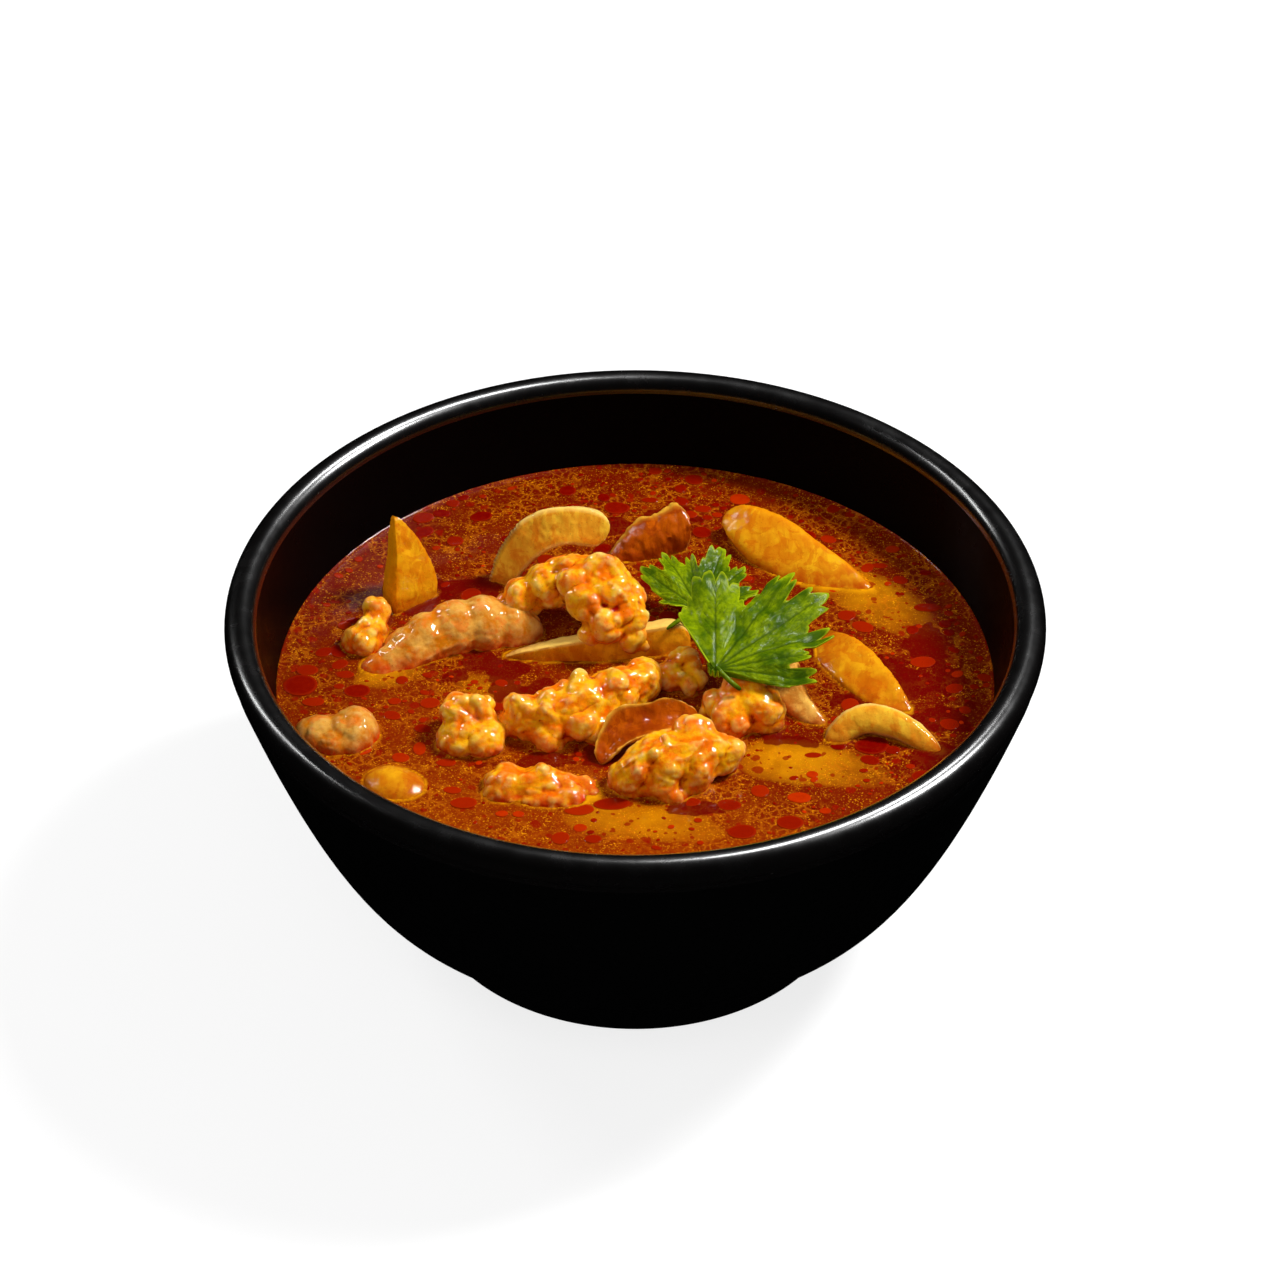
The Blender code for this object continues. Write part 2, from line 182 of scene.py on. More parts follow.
class Finish:
    # a material being put together node by node
    def __init__(self, name, roughness, coat=0.0, coatRoughness=0.05, specular=0.3):
        self.material = bpy.data.materials.new(name)
        self.material.use_nodes = True
        self.tree = self.material.node_tree
        self.shader = self.tree.nodes["Principled BSDF"]
        numbers = {"Roughness": roughness, "Coat Weight": coat, "Coat Roughness": coatRoughness,
                   "Specular IOR Level": specular}
        for socket, number in numbers.items():
            self.shader.inputs[socket].default_value = number
        self.coords = self.add("TexCoord").outputs["Object"]

    def add(self, kind, **numbers):
        node = self.tree.nodes.new("ShaderNode" + kind)
        for socket, number in numbers.items():
            node.inputs[socket].default_value = number
        return node

    def link(self, source, target):
        self.tree.links.new(source, target)

    def noise(self, size, detail=3.0, roughness=0.55, distortion=0.0, vector=None):
        node = self.add("TexNoise", Scale=1.0 / (size * mm), Detail=detail, Roughness=roughness,
                        Distortion=distortion)
        self.link(vector or self.coords, node.inputs["Vector"])
        return node.outputs["Fac"]

    def voronoi(self, size, feature="F1", vector=None):
        node = self.add("TexVoronoi", Scale=1.0 / (size * mm))
        node.feature = feature
        self.link(vector or self.coords, node.inputs["Vector"])
        return node

    def stretched(self, scale, turn=(0.0, 0.0, 0.0)):
        node = self.add("Mapping", Scale=scale, Rotation=[math.radians(angle) for angle in turn])
        self.link(self.coords, node.inputs["Vector"])
        return node.outputs["Vector"]

    def attribute(self, name):
        node = self.add("Attribute")
        node.attribute_name = name
        return node.outputs["Fac"]

    def axis(self, name, low, high):
        # 0 at the low place along an axis and 1 at the high one
        parts = self.add("SeparateXYZ")
        self.link(self.coords, parts.inputs[0])
        return self.span(parts.outputs[name], low * mm, high * mm)

    def height(self, low, high):
        return self.axis("Z", brothLevel + low, brothLevel + high)

    def span(self, value, low, high, outLow=0.0, outHigh=1.0):
        ends = {"From Min": low, "From Max": high, "To Min": outLow, "To Max": outHigh}
        node = self.add("MapRange", **ends)
        self.link(value, node.inputs["Value"])
        return node.outputs["Result"]

    def maths(self, operation, first, second):
        node = self.add("Math")
        node.operation = operation
        node.use_clamp = operation in ("MULTIPLY", "ADD", "SUBTRACT")
        for socket, value in zip(node.inputs, (first, second)):
            if isinstance(value, (int, float)):
                socket.default_value = value
            else:
                self.link(value, socket)
        return node.outputs["Value"]

    def mix(self, share, first, second):
        node = self.add("Mix")
        node.data_type = "RGBA"
        self.link(share, node.inputs[0])
        for socket, value in ((node.inputs[6], first), (node.inputs[7], second)):
            if isinstance(value, tuple):
                socket.default_value = value
            else:
                self.link(value, socket)
        return node.outputs[2]

    def over(self, base, share, weight, tint):
        # the tint laid over the base where the share says, never stronger than the weight
        return self.mix(self.maths("MULTIPLY", share, weight), base, tint)

    def paint(self, tint):
        self.link(tint, self.shader.inputs["Base Color"])

    def rough(self, value):
        self.link(value, self.shader.inputs["Roughness"])

    def bump(self, height, strength, depth, film=True):
        # a film of liquid on top stays smooth unless told otherwise
        node = self.add("Bump", Strength=strength, Distance=depth * mm)
        self.link(height, node.inputs["Height"])
        self.link(node.outputs["Normal"], self.shader.inputs["Normal"])
        if not film:
            self.link(node.outputs["Normal"], self.shader.inputs["Coat Normal"])


# The bowl: a lip, a body, a foot ring and an inner wall, all turned from one outline.
bowl = dict(
    lipRadius=3.5, grooveDepth=0.7, shoulderRadius=62.5, shoulderHeight=19.5, fullness=0.66,
    footRadius=49.0, footHeight=6.5, footWidth=5.0, recess=4.0, floorHeight=10.0,
    wallCurve=1.36, wallFullness=4.0, grooveAngle=-52.0,
    turns=160, bodySteps=26, lipSteps=28, wallSteps=44,
    glaze=colour(6, 5, 5), stoneware=colour(2, 2, 2), fleck=colour(12, 12, 12))


def bodyRadius(height):
    top = bowlHeight - 2.0 * bowl["lipRadius"]
    rise = max(0.0, height - bowl["shoulderHeight"]) / (top - bowl["shoulderHeight"])
    reach = rimRadius - bowl["grooveDepth"] - bowl["shoulderRadius"]
    return bowl["shoulderRadius"] + reach * min(1.0, rise) ** bowl["fullness"]


def wallRadius(height):
    top = bowlHeight - bowl["lipRadius"]
    rise = min(1.0, max(0.0, (height - bowl["floorHeight"]) / (top - bowl["floorHeight"])))
    inside = rimRadius - 2.0 * bowl["lipRadius"]
    return inside * (1.0 - (1.0 - rise) ** bowl["wallCurve"]) ** (1.0 / bowl["wallFullness"])


def bowlProfile():
    # the recess under the foot, the foot ring, the shoulder, the body, the lip, then the inner wall
    foot, recess, lip = bowl["footRadius"], bowl["recess"], bowl["lipRadius"]
    inner = foot - bowl["footWidth"]
    points = [(0.0, recess), (inner * 0.5, recess), (inner - 1.4, recess)]
    points += [(inner - 0.4, recess - 0.4), (inner, recess - 1.2), (inner, 0.7)]
    points += [(inner + 0.25, 0.2), (inner + 0.8, 0.0), (foot - 1.2, 0.0), (foot - 0.35, 0.35)]
    points += [(foot, 1.2), (foot, 3.4), (foot - 0.1, 5.4), (foot + 0.1, 6.3)]
    points += [(foot + 1.0, bowl["footHeight"] + 0.5)]
    points += [(foot + 4.2, 9.6), (57.4, 13.2), (60.0, 16.0), (61.6, 17.9), (62.2, 18.8)]
    top = bowlHeight - 2.0 * lip
    for step in range(bowl["bodySteps"] + 1):
        share = (step / bowl["bodySteps"]) ** 1.25
        height = bowl["shoulderHeight"] + (top - 0.9 - bowl["shoulderHeight"]) * share
        points.append((bodyRadius(height), height))
    points.append((bodyRadius(top) - 0.45, top - 0.35))
    for step in range(bowl["lipSteps"] + 1):
        turned = (180.0 - bowl["grooveAngle"]) * step / bowl["lipSteps"]
        angle = math.radians(bowl["grooveAngle"] + turned)
        points.append((rimRadius - lip + lip * math.cos(angle), bowlHeight - lip + lip * math.sin(angle)))
    for step in range(1, bowl["wallSteps"]):
        share = (1.0 - step / bowl["wallSteps"]) ** 1.9
        height = bowl["floorHeight"] + (bowlHeight - lip - bowl["floorHeight"]) * share
        points.append((wallRadius(height), height))
    points.append((0.0, bowl["floorHeight"]))
    return points


def spinProfile(name, points, turns):
    # one corner of a plane is drawn out along the outline, then spun about the axis
    bpy.ops.mesh.primitive_plane_add(size=mm)
    piece = rename(bpy.context.object, name)
    editAll(piece)
    bpy.ops.mesh.merge(type="CENTER")
    bpy.ops.transform.translate(value=(points[0][0] * mm, 0.0, points[0][1] * mm))
    for before, after in zip(points, points[1:]):
        move = ((after[0] - before[0]) * mm, 0.0, (after[1] - before[1]) * mm)
        bpy.ops.mesh.extrude_region_move(TRANSFORM_OT_translate={"value": move})
    bpy.ops.mesh.select_all(action="SELECT")
    bpy.ops.mesh.spin(steps=turns, angle=math.tau, center=(0.0, 0.0, 0.0), axis=(0.0, 0.0, 1.0))
    leaveEdit()
    tidyMesh(piece)
    return piece


def makeBowl():
    piece = spinProfile("blackBowl", bowlProfile(), bowl["turns"])
    activate(piece)
    bpy.ops.object.shade_smooth_by_angle(angle=math.radians(40.0))
    glaze = Finish("glazeBlack", 0.22, coat=1.0, coatRoughness=0.20, specular=0.5)
    glaze.paint(glaze.mix(glaze.noise(9.0), bowl["glaze"], colour(7, 6, 6)))
    glaze.rough(glaze.span(glaze.noise(5.0), 0.3, 0.7, 0.20, 0.30))
    glaze.bump(glaze.noise(0.8, 4.0), 0.10, 0.05)
    wall = Finish("glazeBlackInside", 0.30, specular=0.03)
    wall.paint(wall.mix(wall.noise(9.0), colour(3, 2, 2), colour(5, 3, 3)))
    wall.rough(wall.span(wall.noise(6.0), 0.3, 0.7, 0.26, 0.38))
    wall.bump(wall.noise(0.9, 4.0), 0.10, 0.05)
    body = Finish("stonewareBlack", 0.55, specular=0.05)
    flecks = body.span(body.voronoi(0.7).outputs["Distance"], 0.10, 0.22, 1.0, 0.0)
    patches = body.maths("MULTIPLY", flecks, body.span(body.noise(2.2), 0.5, 0.62))
    body.paint(body.mix(patches, bowl["stoneware"], bowl["fleck"]))
    body.rough(body.span(body.noise(1.6), 0.3, 0.7, 0.48, 0.66))
    body.bump(body.noise(0.45, 5.0, 0.65), 0.35, 0.10)
    finishPiece(piece, glaze.material, "bowl_black", "bowl")
    piece.data.materials.append(body.material)
    piece.data.materials.append(wall.material)
    groove = bowlHeight - 2.0 * bowl["lipRadius"] - 0.2
    lipFoot = bowlHeight - bowl["lipRadius"] - 0.6
    for face in piece.data.polygons:
        across = Vector((face.center.x, face.center.y)).length / mm
        height = face.center.z / mm
        outside = across > wallRadius(height) + 2.0 or height < bowl["floorHeight"] - 0.1
        if outside and height < groove:
            face.material_index = 1
        elif not outside and height < lipFoot:
            face.material_index = 2
    print("bowl made")
    return piece


def bendPoint(spine, t):
    start, bend, end = spine
    return start * (1 - t) ** 2 + bend * 2 * t * (1 - t) + end * t ** 2


def bendTangent(spine, t):
    start, bend, end = spine
    return ((bend - start) * 2 * (1 - t) + (end - bend) * 2 * t).normalized()


def endTaper(t, widest, blunt):
    if t < widest:
        share, power = 1.0 - t / widest, blunt[0]
    else:
        share, power = (t - widest) / (1.0 - widest), blunt[1]
    return max(0.0, 1.0 - share ** power) ** (1.0 / min(power, 2.0))


def angleGap(angle, middle):
    return (angle - middle + 180.0) % 360.0 - 180.0


# what a piece drawn out along a line has where its own values say nothing
plainSweep = dict(sides=48, rings=90, square=3.0, gills=None, seed=0, wavy=0.10, dish=0.0,
                  swells=((4.0, 0.6), (1.3, 0.3), (0.6, 0.08)))


def sweepPiece(name, ownFacts):
    facts = {**plainSweep, **ownFacts}
    sides, rings = facts["sides"], facts["rings"]
    bpy.ops.mesh.primitive_uv_sphere_add(segments=sides, ring_count=rings, radius=1.0)
    piece = rename(bpy.context.object, name)
    spine = [Vector(point) for point in facts["spine"]]
    square, gills = facts["square"], facts["gills"]
    edges, gilled = [], []
    for vertex in piece.data.vertices:
        t = 0.5 - 0.5 * vertex.co.z
        angle = math.atan2(vertex.co.y, vertex.co.x)
        cosine, sine = math.cos(angle), math.sin(angle)
        centre, along = bendPoint(spine, t), bendTangent(spine, t)
        out = Vector(facts["face"])
        out = (out - along * out.dot(along)).normalized()
        across = along.cross(out)
        taper = endTaper(t, facts["widest"], facts["blunt"])
        box = (abs(cosine) ** square + abs(sine) ** square) ** (-1.0 / square)
        wave = noise.noise(Vector((t * 4.0, cosine * 0.7, facts["seed"] * 3.1)))
        wide = 0.5 * facts["width"] * taper * (1.0 + facts["wavy"] * wave)
        thick = 0.5 * facts["thickness"] * taper ** 0.45
        push = 0.0
        gillShare = 0.0
        if gills:
            # they run round one side of the piece between two places along it
            middle, spread, count, depth, ends = gills
            gap = abs(angleGap(math.degrees(angle), middle)) / spread
            if gap < 1.0 and ends[0] < t < ends[1]:
                fade = min(1.0, (t - ends[0]) / 0.05, (ends[1] - t) / 0.05)
                gillShare = (1.0 - gap ** 4) * fade
                push = -depth * gillShare * (0.5 + 0.5 * math.cos(math.tau * t * count))
        reachA, reachB = wide * box * cosine, thick * box * sine
        edge = across * reachA + out * reachB
        if edge.length > 0.0001 and push:
            edge += edge.normalized() * max(push, -0.6 * edge.length)
        curlUp = facts["dish"] * (reachA / max(0.5 * facts["width"], 0.1)) ** 2
        vertex.co = onSoup(centre + edge + out * curlUp)
        edges.append(min(1.0, max(0.0, (abs(cosine) * box - 0.80) / 0.2)))
        gilled.append(gillShare)
    storeValues(piece, "edge", np.array(edges))
    storeValues(piece, "gill", np.array(gilled))
    faceOut(piece)
    for size, height in facts["swells"]:
        swell(piece, size, height)
    activate(piece)
    bpy.ops.object.shade_smooth_by_angle(angle=math.radians(38.0))
    return piece


# The mushroom slices, each a ball drawn out along a bent line.
mushrooms = dict(
    mushroomWedge=dict(
        node="mushroom_wedge", finish="mottled",
        spine=((-52.6, 25.0, -7.0), (-48.6, 29.4, 5.0), (-54.6, 34.2, 19.2)),
        width=12.6, thickness=5.6, face=(0.62, -0.74, 0.30), widest=0.40, blunt=(2.0, 1.25),
        square=9.0, wavy=0.06, swells=((3.5, 0.5), (1.3, 0.35), (0.6, 0.10))),
    mushroomArch=dict(
        node="mushroom_arch", finish="pale",
        spine=((-31.8, 35.0, -5.0), (-25.4, 37.0, 21.0), (-6.4, 37.6, 11.6)),
        width=8.8, thickness=4.4, face=(-0.15, -0.85, 0.50), widest=0.60, blunt=(2.6, 9.0),
        square=7.0, rings=180, gills=(180.0, 60.0, 50, 0.6, (0.05, 0.46)), seed=1),
    mushroomMiddle=dict(
        node="mushroom_slice_middle", finish="brown",
        spine=((-29.8, 7.6, -0.8), (-8.0, 6.4, 0.4), (12.0, 12.2, 2.0)),
        width=9.6, thickness=5.4, face=(-0.05, -0.95, 0.30), widest=0.66, blunt=(1.6, 7.0),
        square=9.0, seed=2),
    mushroomStripBack=dict(
        node="mushroom_strip_back", finish="mottled",
        spine=((21.2, 54.8, 3.8), (31.4, 44.2, 4.6), (60.0, 23.6, -7.0)),
        width=13.4, thickness=5.4, face=(-0.30, -0.35, 0.88), widest=0.50, blunt=(2.2, 2.2),
        square=6.0, dish=-0.6, seed=3),
    mushroomRight=dict(
        node="mushroom_slice_right", finish="mottled",
        spine=((42.6, 16.0, -1.4), (46.8, 1.0, 2.6), (60.8, -13.8, -1.4)),
        width=11.6, thickness=3.8, face=(-0.22, -0.15, 0.95), widest=0.48, blunt=(2.0, 1.7),
        square=5.0, rings=170, gills=(180.0, 36.0, 40, 0.45, (0.1, 0.8)), seed=4),
    mushroomSmall=dict(
        node="mushroom_slice_small", finish="grey",
        spine=((35.4, 4.0, 0.8), (29.8, -8.4, 2.0), (41.6, -16.4, -1.2)),
        width=7.0, thickness=5.6, face=(-0.30, -0.30, 0.90), widest=0.50, blunt=(2.8, 2.2),
        square=3.4, rings=170, gills=(180.0, 44.0, 34, 0.45, (0.08, 0.85)), seed=5),
    mushroomFront=dict(
        node="mushroom_slice_front", finish="pale",
        spine=((41.6, -22.8, -2.8), (51.2, -11.8, 8.0), (67.4, -27.0, -2.6)),
        width=6.8, thickness=5.8, face=(0.0, -0.72, 0.68), widest=0.45, blunt=(2.8, 2.4),
        square=3.2, seed=6),
    mushroomFlap=dict(
        node="mushroom_flap", finish="curled",
        spine=((-7.4, -30.6, 0.4), (-3.0, -20.8, 5.6), (13.8, -18.8, 4.2)),
        width=8.6, thickness=1.8, face=(-0.38, -0.52, 0.76), widest=0.50, blunt=(2.0, 2.4),
        square=3.4, wavy=0.35, dish=3.0, swells=((3.0, 1.1), (1.0, 0.25)), seed=7),
    mushroomBack=dict(
        node="mushroom_back", finish="curled",
        spine=((-6.0, 41.6, -2.2), (3.6, 46.6, 6.0), (12.6, 48.4, 5.4)),
        width=11.4, thickness=3.4, face=(-0.30, -0.78, 0.55), widest=0.78, blunt=(1.8, 4.0),
        square=4.0, wavy=0.3, dish=-3.0, swells=((2.6, 1.4), (1.0, 0.4)), seed=8),
    mushroomCap=dict(
        node="mushroom_cap_rim", finish="mottled",
        spine=((-58.4, -34.6, -1.8), (-51.4, -37.4, -0.2), (-45.4, -39.0, -2.4)),
        width=11.4, thickness=6.6, face=(0.05, -0.10, 0.98), widest=0.45, blunt=(2.4, 2.4),
        square=2.2, wavy=0.05, swells=((4.0, 0.4), (1.0, 0.1)), seed=9))

# a tint's rim is partly the slice edge's own colour and partly painted light on the edges
mushroomTints = dict(
    mottled=dict(flesh=colour(240, 174, 18), stain=colour(202, 84, 0), rim=colour(232, 140, 0)),
    pale=dict(flesh=colour(255, 200, 52), stain=colour(222, 104, 0), rim=colour(255, 220, 120)),
    brown=dict(flesh=colour(250, 168, 20), stain=colour(200, 92, 0), rim=colour(255, 220, 110)),
    curled=dict(flesh=colour(190, 86, 0), stain=colour(128, 32, 0), rim=colour(255, 194, 60)),
    grey=dict(flesh=colour(248, 190, 84), stain=colour(190, 96, 0), rim=colour(216, 138, 20)))


def mushroomFinish(name, tints):
    skin = Finish("mushroom" + name.capitalize(), 0.5, coat=0.6, coatRoughness=0.03, specular=0.03)
    shade = skin.span(skin.noise(7.0, 3.0, 0.6), 0.38, 0.62)
    base = skin.over(tints["flesh"], shade, 0.55, tints["stain"])
    blotch = skin.span(skin.noise(4.4, 4.0, 0.62, 0.8), 0.51, 0.56)
    base = skin.over(base, blotch, 0.45, tints["stain"])
    drawnOut = skin.stretched((2.2, 0.6, 0.6), (0.0, 35.0, 0.0))
    streak = skin.span(skin.noise(3.0, 3.0, 0.5, 0.3, drawnOut), 0.50, 0.60)
    base = skin.over(base, streak, 0.30, tints["stain"])
    # the long edges in the rim tint: partly their own colour, partly painted light, paler along edges that
    # face up
    base = skin.over(base, skin.attribute("edge"), 0.8, tints["rim"])
    base = skin.over(base, skin.attribute("gill"), 0.85, colour(120, 62, 24))
    wetness = skin.span(skin.noise(2.4), 0.35, 0.65, 0.35, 1.0)
    base = skin.over(base, skin.height(3.0, 0.0), wetness, colour(176, 60, 0))
    specks = skin.span(skin.noise(0.35, 2.0), 0.66, 0.74)
    base = skin.over(base, specks, 0.5, colour(120, 40, 2))
    skin.paint(base)
    skin.bump(skin.noise(1.1, 4.0, 0.6), 0.5, 0.24, film=False)
    return skin.material


def makeMushrooms():
    finishes = {name: mushroomFinish(name, tints) for name, tints in mushroomTints.items()}
    made = []
    for name, facts in mushrooms.items():
        piece = sweepPiece(name, facts)
        finishPiece(piece, finishes[facts["finish"]], "mushroom_flesh", facts["node"])
        made.append(piece)
    print("mushrooms made:", len(made))
    return made


# The chicken: the CAD shape with rounded lobes set into it, so that they meet in creases. A piece has
# lobes in given places (x, y, height, radius) and count more of them sprinkled over it.
plainChicken = dict(count=2, sizes=(2.2, 3.4), sink=0.55, finish="glazed", folds=1.0, where=(-90.0, 90.0))
chickens = dict(
    chickenCurl=dict(
        node="chicken_curl", count=5, sizes=(2.4, 3.6), where=(-13.0, 6.0), seed=3,
        lobes=((-10.5, 13, 10.4, 4.8), (-6.5, 8.6, 8, 4.4), (-2.2, 12, 8, 5),
               (-4.5, 17.5, 11.4, 5.2), (-13, 18.4, 12.2, 4.8), (-9.6, 9.4, 4.8, 3.4),
               (-20, 21.4, 9.6, 5.4), (-25, 20.8, 6.6, 4.8), (-28.4, 20.4, 3.6, 3.6),
               (-0.4, 9, 3.4, 3.6))),
    chickenStrip=dict(
        node="chicken_strip", count=0, finish="pale", folds=0.45, seed=4,
        lobes=((-28.4, 16.4, 0.8, 6.4), (-27, 18.4, 2.6, 4.8), (-34, 15.8, 1.8, 7.2),
               (-40.4, 14.4, 1.8, 7.2), (-46.4, 12, 1.2, 6.4), (-51, 9.6, 0.6, 5.2),
               (-57, 4, -2.6, 4.8), (-25, 15.6, 0.6, 4.6))),
    chickenKnob=dict(
        node="chicken_knob_left", sizes=(2.0, 2.8), sink=0.6, seed=5,
        lobes=((-57.8, 18.6, 4.2, 3.6), (-61, 11.4, 0.6, 4.8), (-59, 15, 2, 3.8))),
    chickenSmall=dict(
        node="chicken_chunk_small", count=3, sizes=(2.0, 3.0), seed=6,
        lobes=((-38.6, -18.6, 5.2, 4.4), (-34, -18.4, 5.4, 4), (-32.6, -23.6, 1.6, 4.8),
               (-39, -23.4, 0.8, 5))),
    chickenCentre=dict(
        node="chicken_centre", count=8, sink=0.5, seed=7,
        lobes=((-24.4, -18.6, 3.8, 5.4), (-19, -22, 1.8, 4.8), (-18, -17.4, 5.4, 5),
               (-12.4, -19.6, 3.8, 5.4), (-11.6, -13, 8.4, 3), (-8, -15, 5.4, 5.4),
               (-3, -10.6, 5.6, 5.4), (1.6, -7.6, 5.6, 4.8), (-8, -21, 1.2, 4.4))),
    chickenShaded=dict(
        node="chicken_chunk_shaded", sizes=(1.8, 2.6), seed=8,
        lobes=((11.4, 0.2, 4.2, 3.8), (8, -3, 2.6, 3.8), (12, -4, 2, 3.4))),
    chickenRight=dict(
        node="chicken_chunk_right", sizes=(2.2, 3.0), seed=9,
        lobes=((24.4, -11.8, 6.2, 5.4), (28.4, -16, 3.2, 5.2), (21.8, -17.6, 2.2, 5.2),
               (18, -13.6, 2.2, 4.2))),
    chickenFront=dict(
        node="chicken_front", count=5, sink=0.52, seed=10,
        lobes=((-0.6, -37, 1.6, 5.4), (5.4, -38, 1.8, 5.2), (6, -32.6, 5, 5.2),
               (13, -29.6, 6.2, 5.4), (12.6, -36, 2.8, 5.2), (18.6, -31.4, 3.6, 5),
               (7.6, -40.6, -1, 4.2), (2, -32.6, 2.8, 4.2))),
    chickenSunk=dict(
        node="chicken_chunk_sunk", count=3, sink=0.62, seed=11,
        lobes=((-28.2, -37.4, -0.6, 5.4), (-23, -38.4, -1, 5.2), (-17, -37.4, -1.2, 4.6),
               (-12.4, -39.4, -2.2, 4))),
    chickenRim=dict(
        node="chicken_chunk_rim", count=0, finish="pale", folds=0.5, seed=12,
        lobes=((-69, -20.6, -0.6, 5.6), (-61.8, -20, -0.4, 6.4))))

# the light tint is a painted highlight on the knobs' tops; the crease tint is chilli oil and painted shade
# in the creases
chickenTints = dict(
    glazed=dict(flesh=colour(255, 184, 14), deep=colour(246, 116, 0), light=colour(255, 228, 124),
                crease=colour(158, 8, 0)),
    pale=dict(flesh=colour(228, 164, 66), deep=colour(208, 118, 8), light=colour(244, 204, 126),
              crease=colour(150, 44, 0)))


def chickenFinish(name, tints):
    meat = Finish("chicken" + name.capitalize(), 0.5, coat=0.9, coatRoughness=0.03, specular=0.03)
    base = meat.mix(meat.span(meat.noise(4.0, 4.0, 0.6), 0.42, 0.60), tints["flesh"], tints["deep"])
    # painted highlight: the tops of the knobs are painted paler, in the light tint
    knobHighlightStrength = meat.span(meat.noise(2.4), 0.36, 0.6, 0.10, 0.80)
    base = meat.over(base, meat.attribute("knob"), knobHighlightStrength, tints["light"])
    fibre = meat.span(meat.noise(0.7, 4.0, 0.65), 0.50, 0.72)
    base = meat.over(base, fibre, 0.30, tints["deep"])
    glaze = meat.span(meat.noise(3.4, 3.0, 0.6, 0.6), 0.50, 0.62)
    base = meat.over(base, glaze, 0.45, colour(240, 98, 0))
    # the creases painted darker red: partly chilli oil gathered in them, partly painted shade
    darkness = meat.span(meat.noise(3.0), 0.36, 0.56, 0.4, 1.0)
    crease = meat.maths("MULTIPLY", meat.attribute("crease"), darkness)
    base = meat.mix(crease, base, meat.mix(crease, tints["deep"], tints["crease"]))
    wetness = meat.span(meat.noise(2.6, 3.0), 0.36, 0.58, 0.3, 1.0)
    base = meat.over(base, meat.height(3.4, 0.4), wetness, colour(204, 42, 0))
    specks = meat.span(meat.noise(0.40, 2.0), 0.68, 0.74)
    base = meat.over(base, specks, 0.6, colour(140, 46, 0))
    meat.paint(base)
    meat.bump(meat.noise(0.8, 5.0, 0.6), 0.6, 0.18)
    return meat.material


def addLobe(centre, radius, squash=(1.0, 1.0, 1.0), turn=(0.0, 0.0, 0.0)):
    bpy.ops.mesh.primitive_ico_sphere_add(
        subdivisions=3, radius=radius * mm, location=Vector(centre) * mm, scale=squash, rotation=turn)
    return bpy.context.object


def sprinkleLobes(piece, facts):
    # rounded lobes set into the skin, none too close to another
    rng = random.Random(facts["seed"])
    low, high = facts["where"]
    faces = [face for face in piece.data.polygons
             if face.center.z > (brothLevel - 2.5) * mm and low * mm < face.center.x < high * mm]
    spots = [(face.center / mm, face.normal.copy()) for face in faces]
    weights = [face.area for face in faces]
    added, taken = [], []
    for attempt in range(600):
        if len(added) == facts["count"]:
            break
        centre, normal = rng.choices(spots, weights)[0]
        radius = rng.uniform(*facts["sizes"])
        if any((centre - other).length < 0.72 * (radius + size) for other, size in taken):
            continue
        taken.append((centre, radius))
        squash = (rng.uniform(0.8, 1.25), rng.uniform(0.8, 1.25), rng.uniform(0.75, 1.0))
        turn = [rng.uniform(0.0, math.pi) for axis in range(3)]
        added.append(addLobe(centre - normal * radius * facts["sink"], radius, squash, turn))
    return added


# the size of the meat's mesh, its folds and ripples with their heights, and where darkened creases and
# painted knob highlights begin
meatSkin = dict(
    cell=0.34, folds=((8.0, 1.9), (4.2, 0.5), (2.4, 0.34)), ripple=(1.4, 0.22), evening=26,
    crease=(0.02, 0.22), knob=(0.01, 0.26))


def makeChicken(name, facts):
    piece = copyNode(facts["node"], name)
    lobes = sprinkleLobes(piece, facts)
    lobes += [addLobe((x, y, h + brothLevel), radius) for x, y, h, radius in facts["lobes"]]
    joinInto(piece, lobes)
    modify(piece, "REMESH", mode="VOXEL", voxel_size=meatSkin["cell"] * mm, use_smooth_shade=True)
    smooth(piece, 0.5, 4)
    for size, height in meatSkin["folds"]:
        fold(piece, size, height * facts["folds"])
    smooth(piece, 0.3, 1)
    swell(piece, *meatSkin["ripple"])
    # how far each point lies under or over the evened-out skin, which is then put back
    shape, normals = readPoints(piece), readPoints(piece, "normal")
    smooth(piece, 0.6, meatSkin["evening"])
    depth = np.einsum("ij,ij->i", readPoints(piece) - shape, normals) / mm
    writePoints(piece, shape)
    for trait, side in (("crease", 1.0), ("knob", -1.0)):
        start, span = meatSkin[trait]
        storeValues(piece, trait, (side * depth - start) / span)
    activate(piece)
    bpy.ops.object.shade_smooth()
    return piece


def makeChickens():
    finishes = {name: chickenFinish(name, tints) for name, tints in chickenTints.items()}
    made = []
    for name, ownFacts in chickens.items():
        facts = {**plainChicken, **ownFacts}
        piece = makeChicken(name, facts)
        finishPiece(piece, finishes[facts["finish"]], "chicken_flesh", facts["node"])
        made.append(piece)
    print("chicken pieces made:", len(made))
    return made


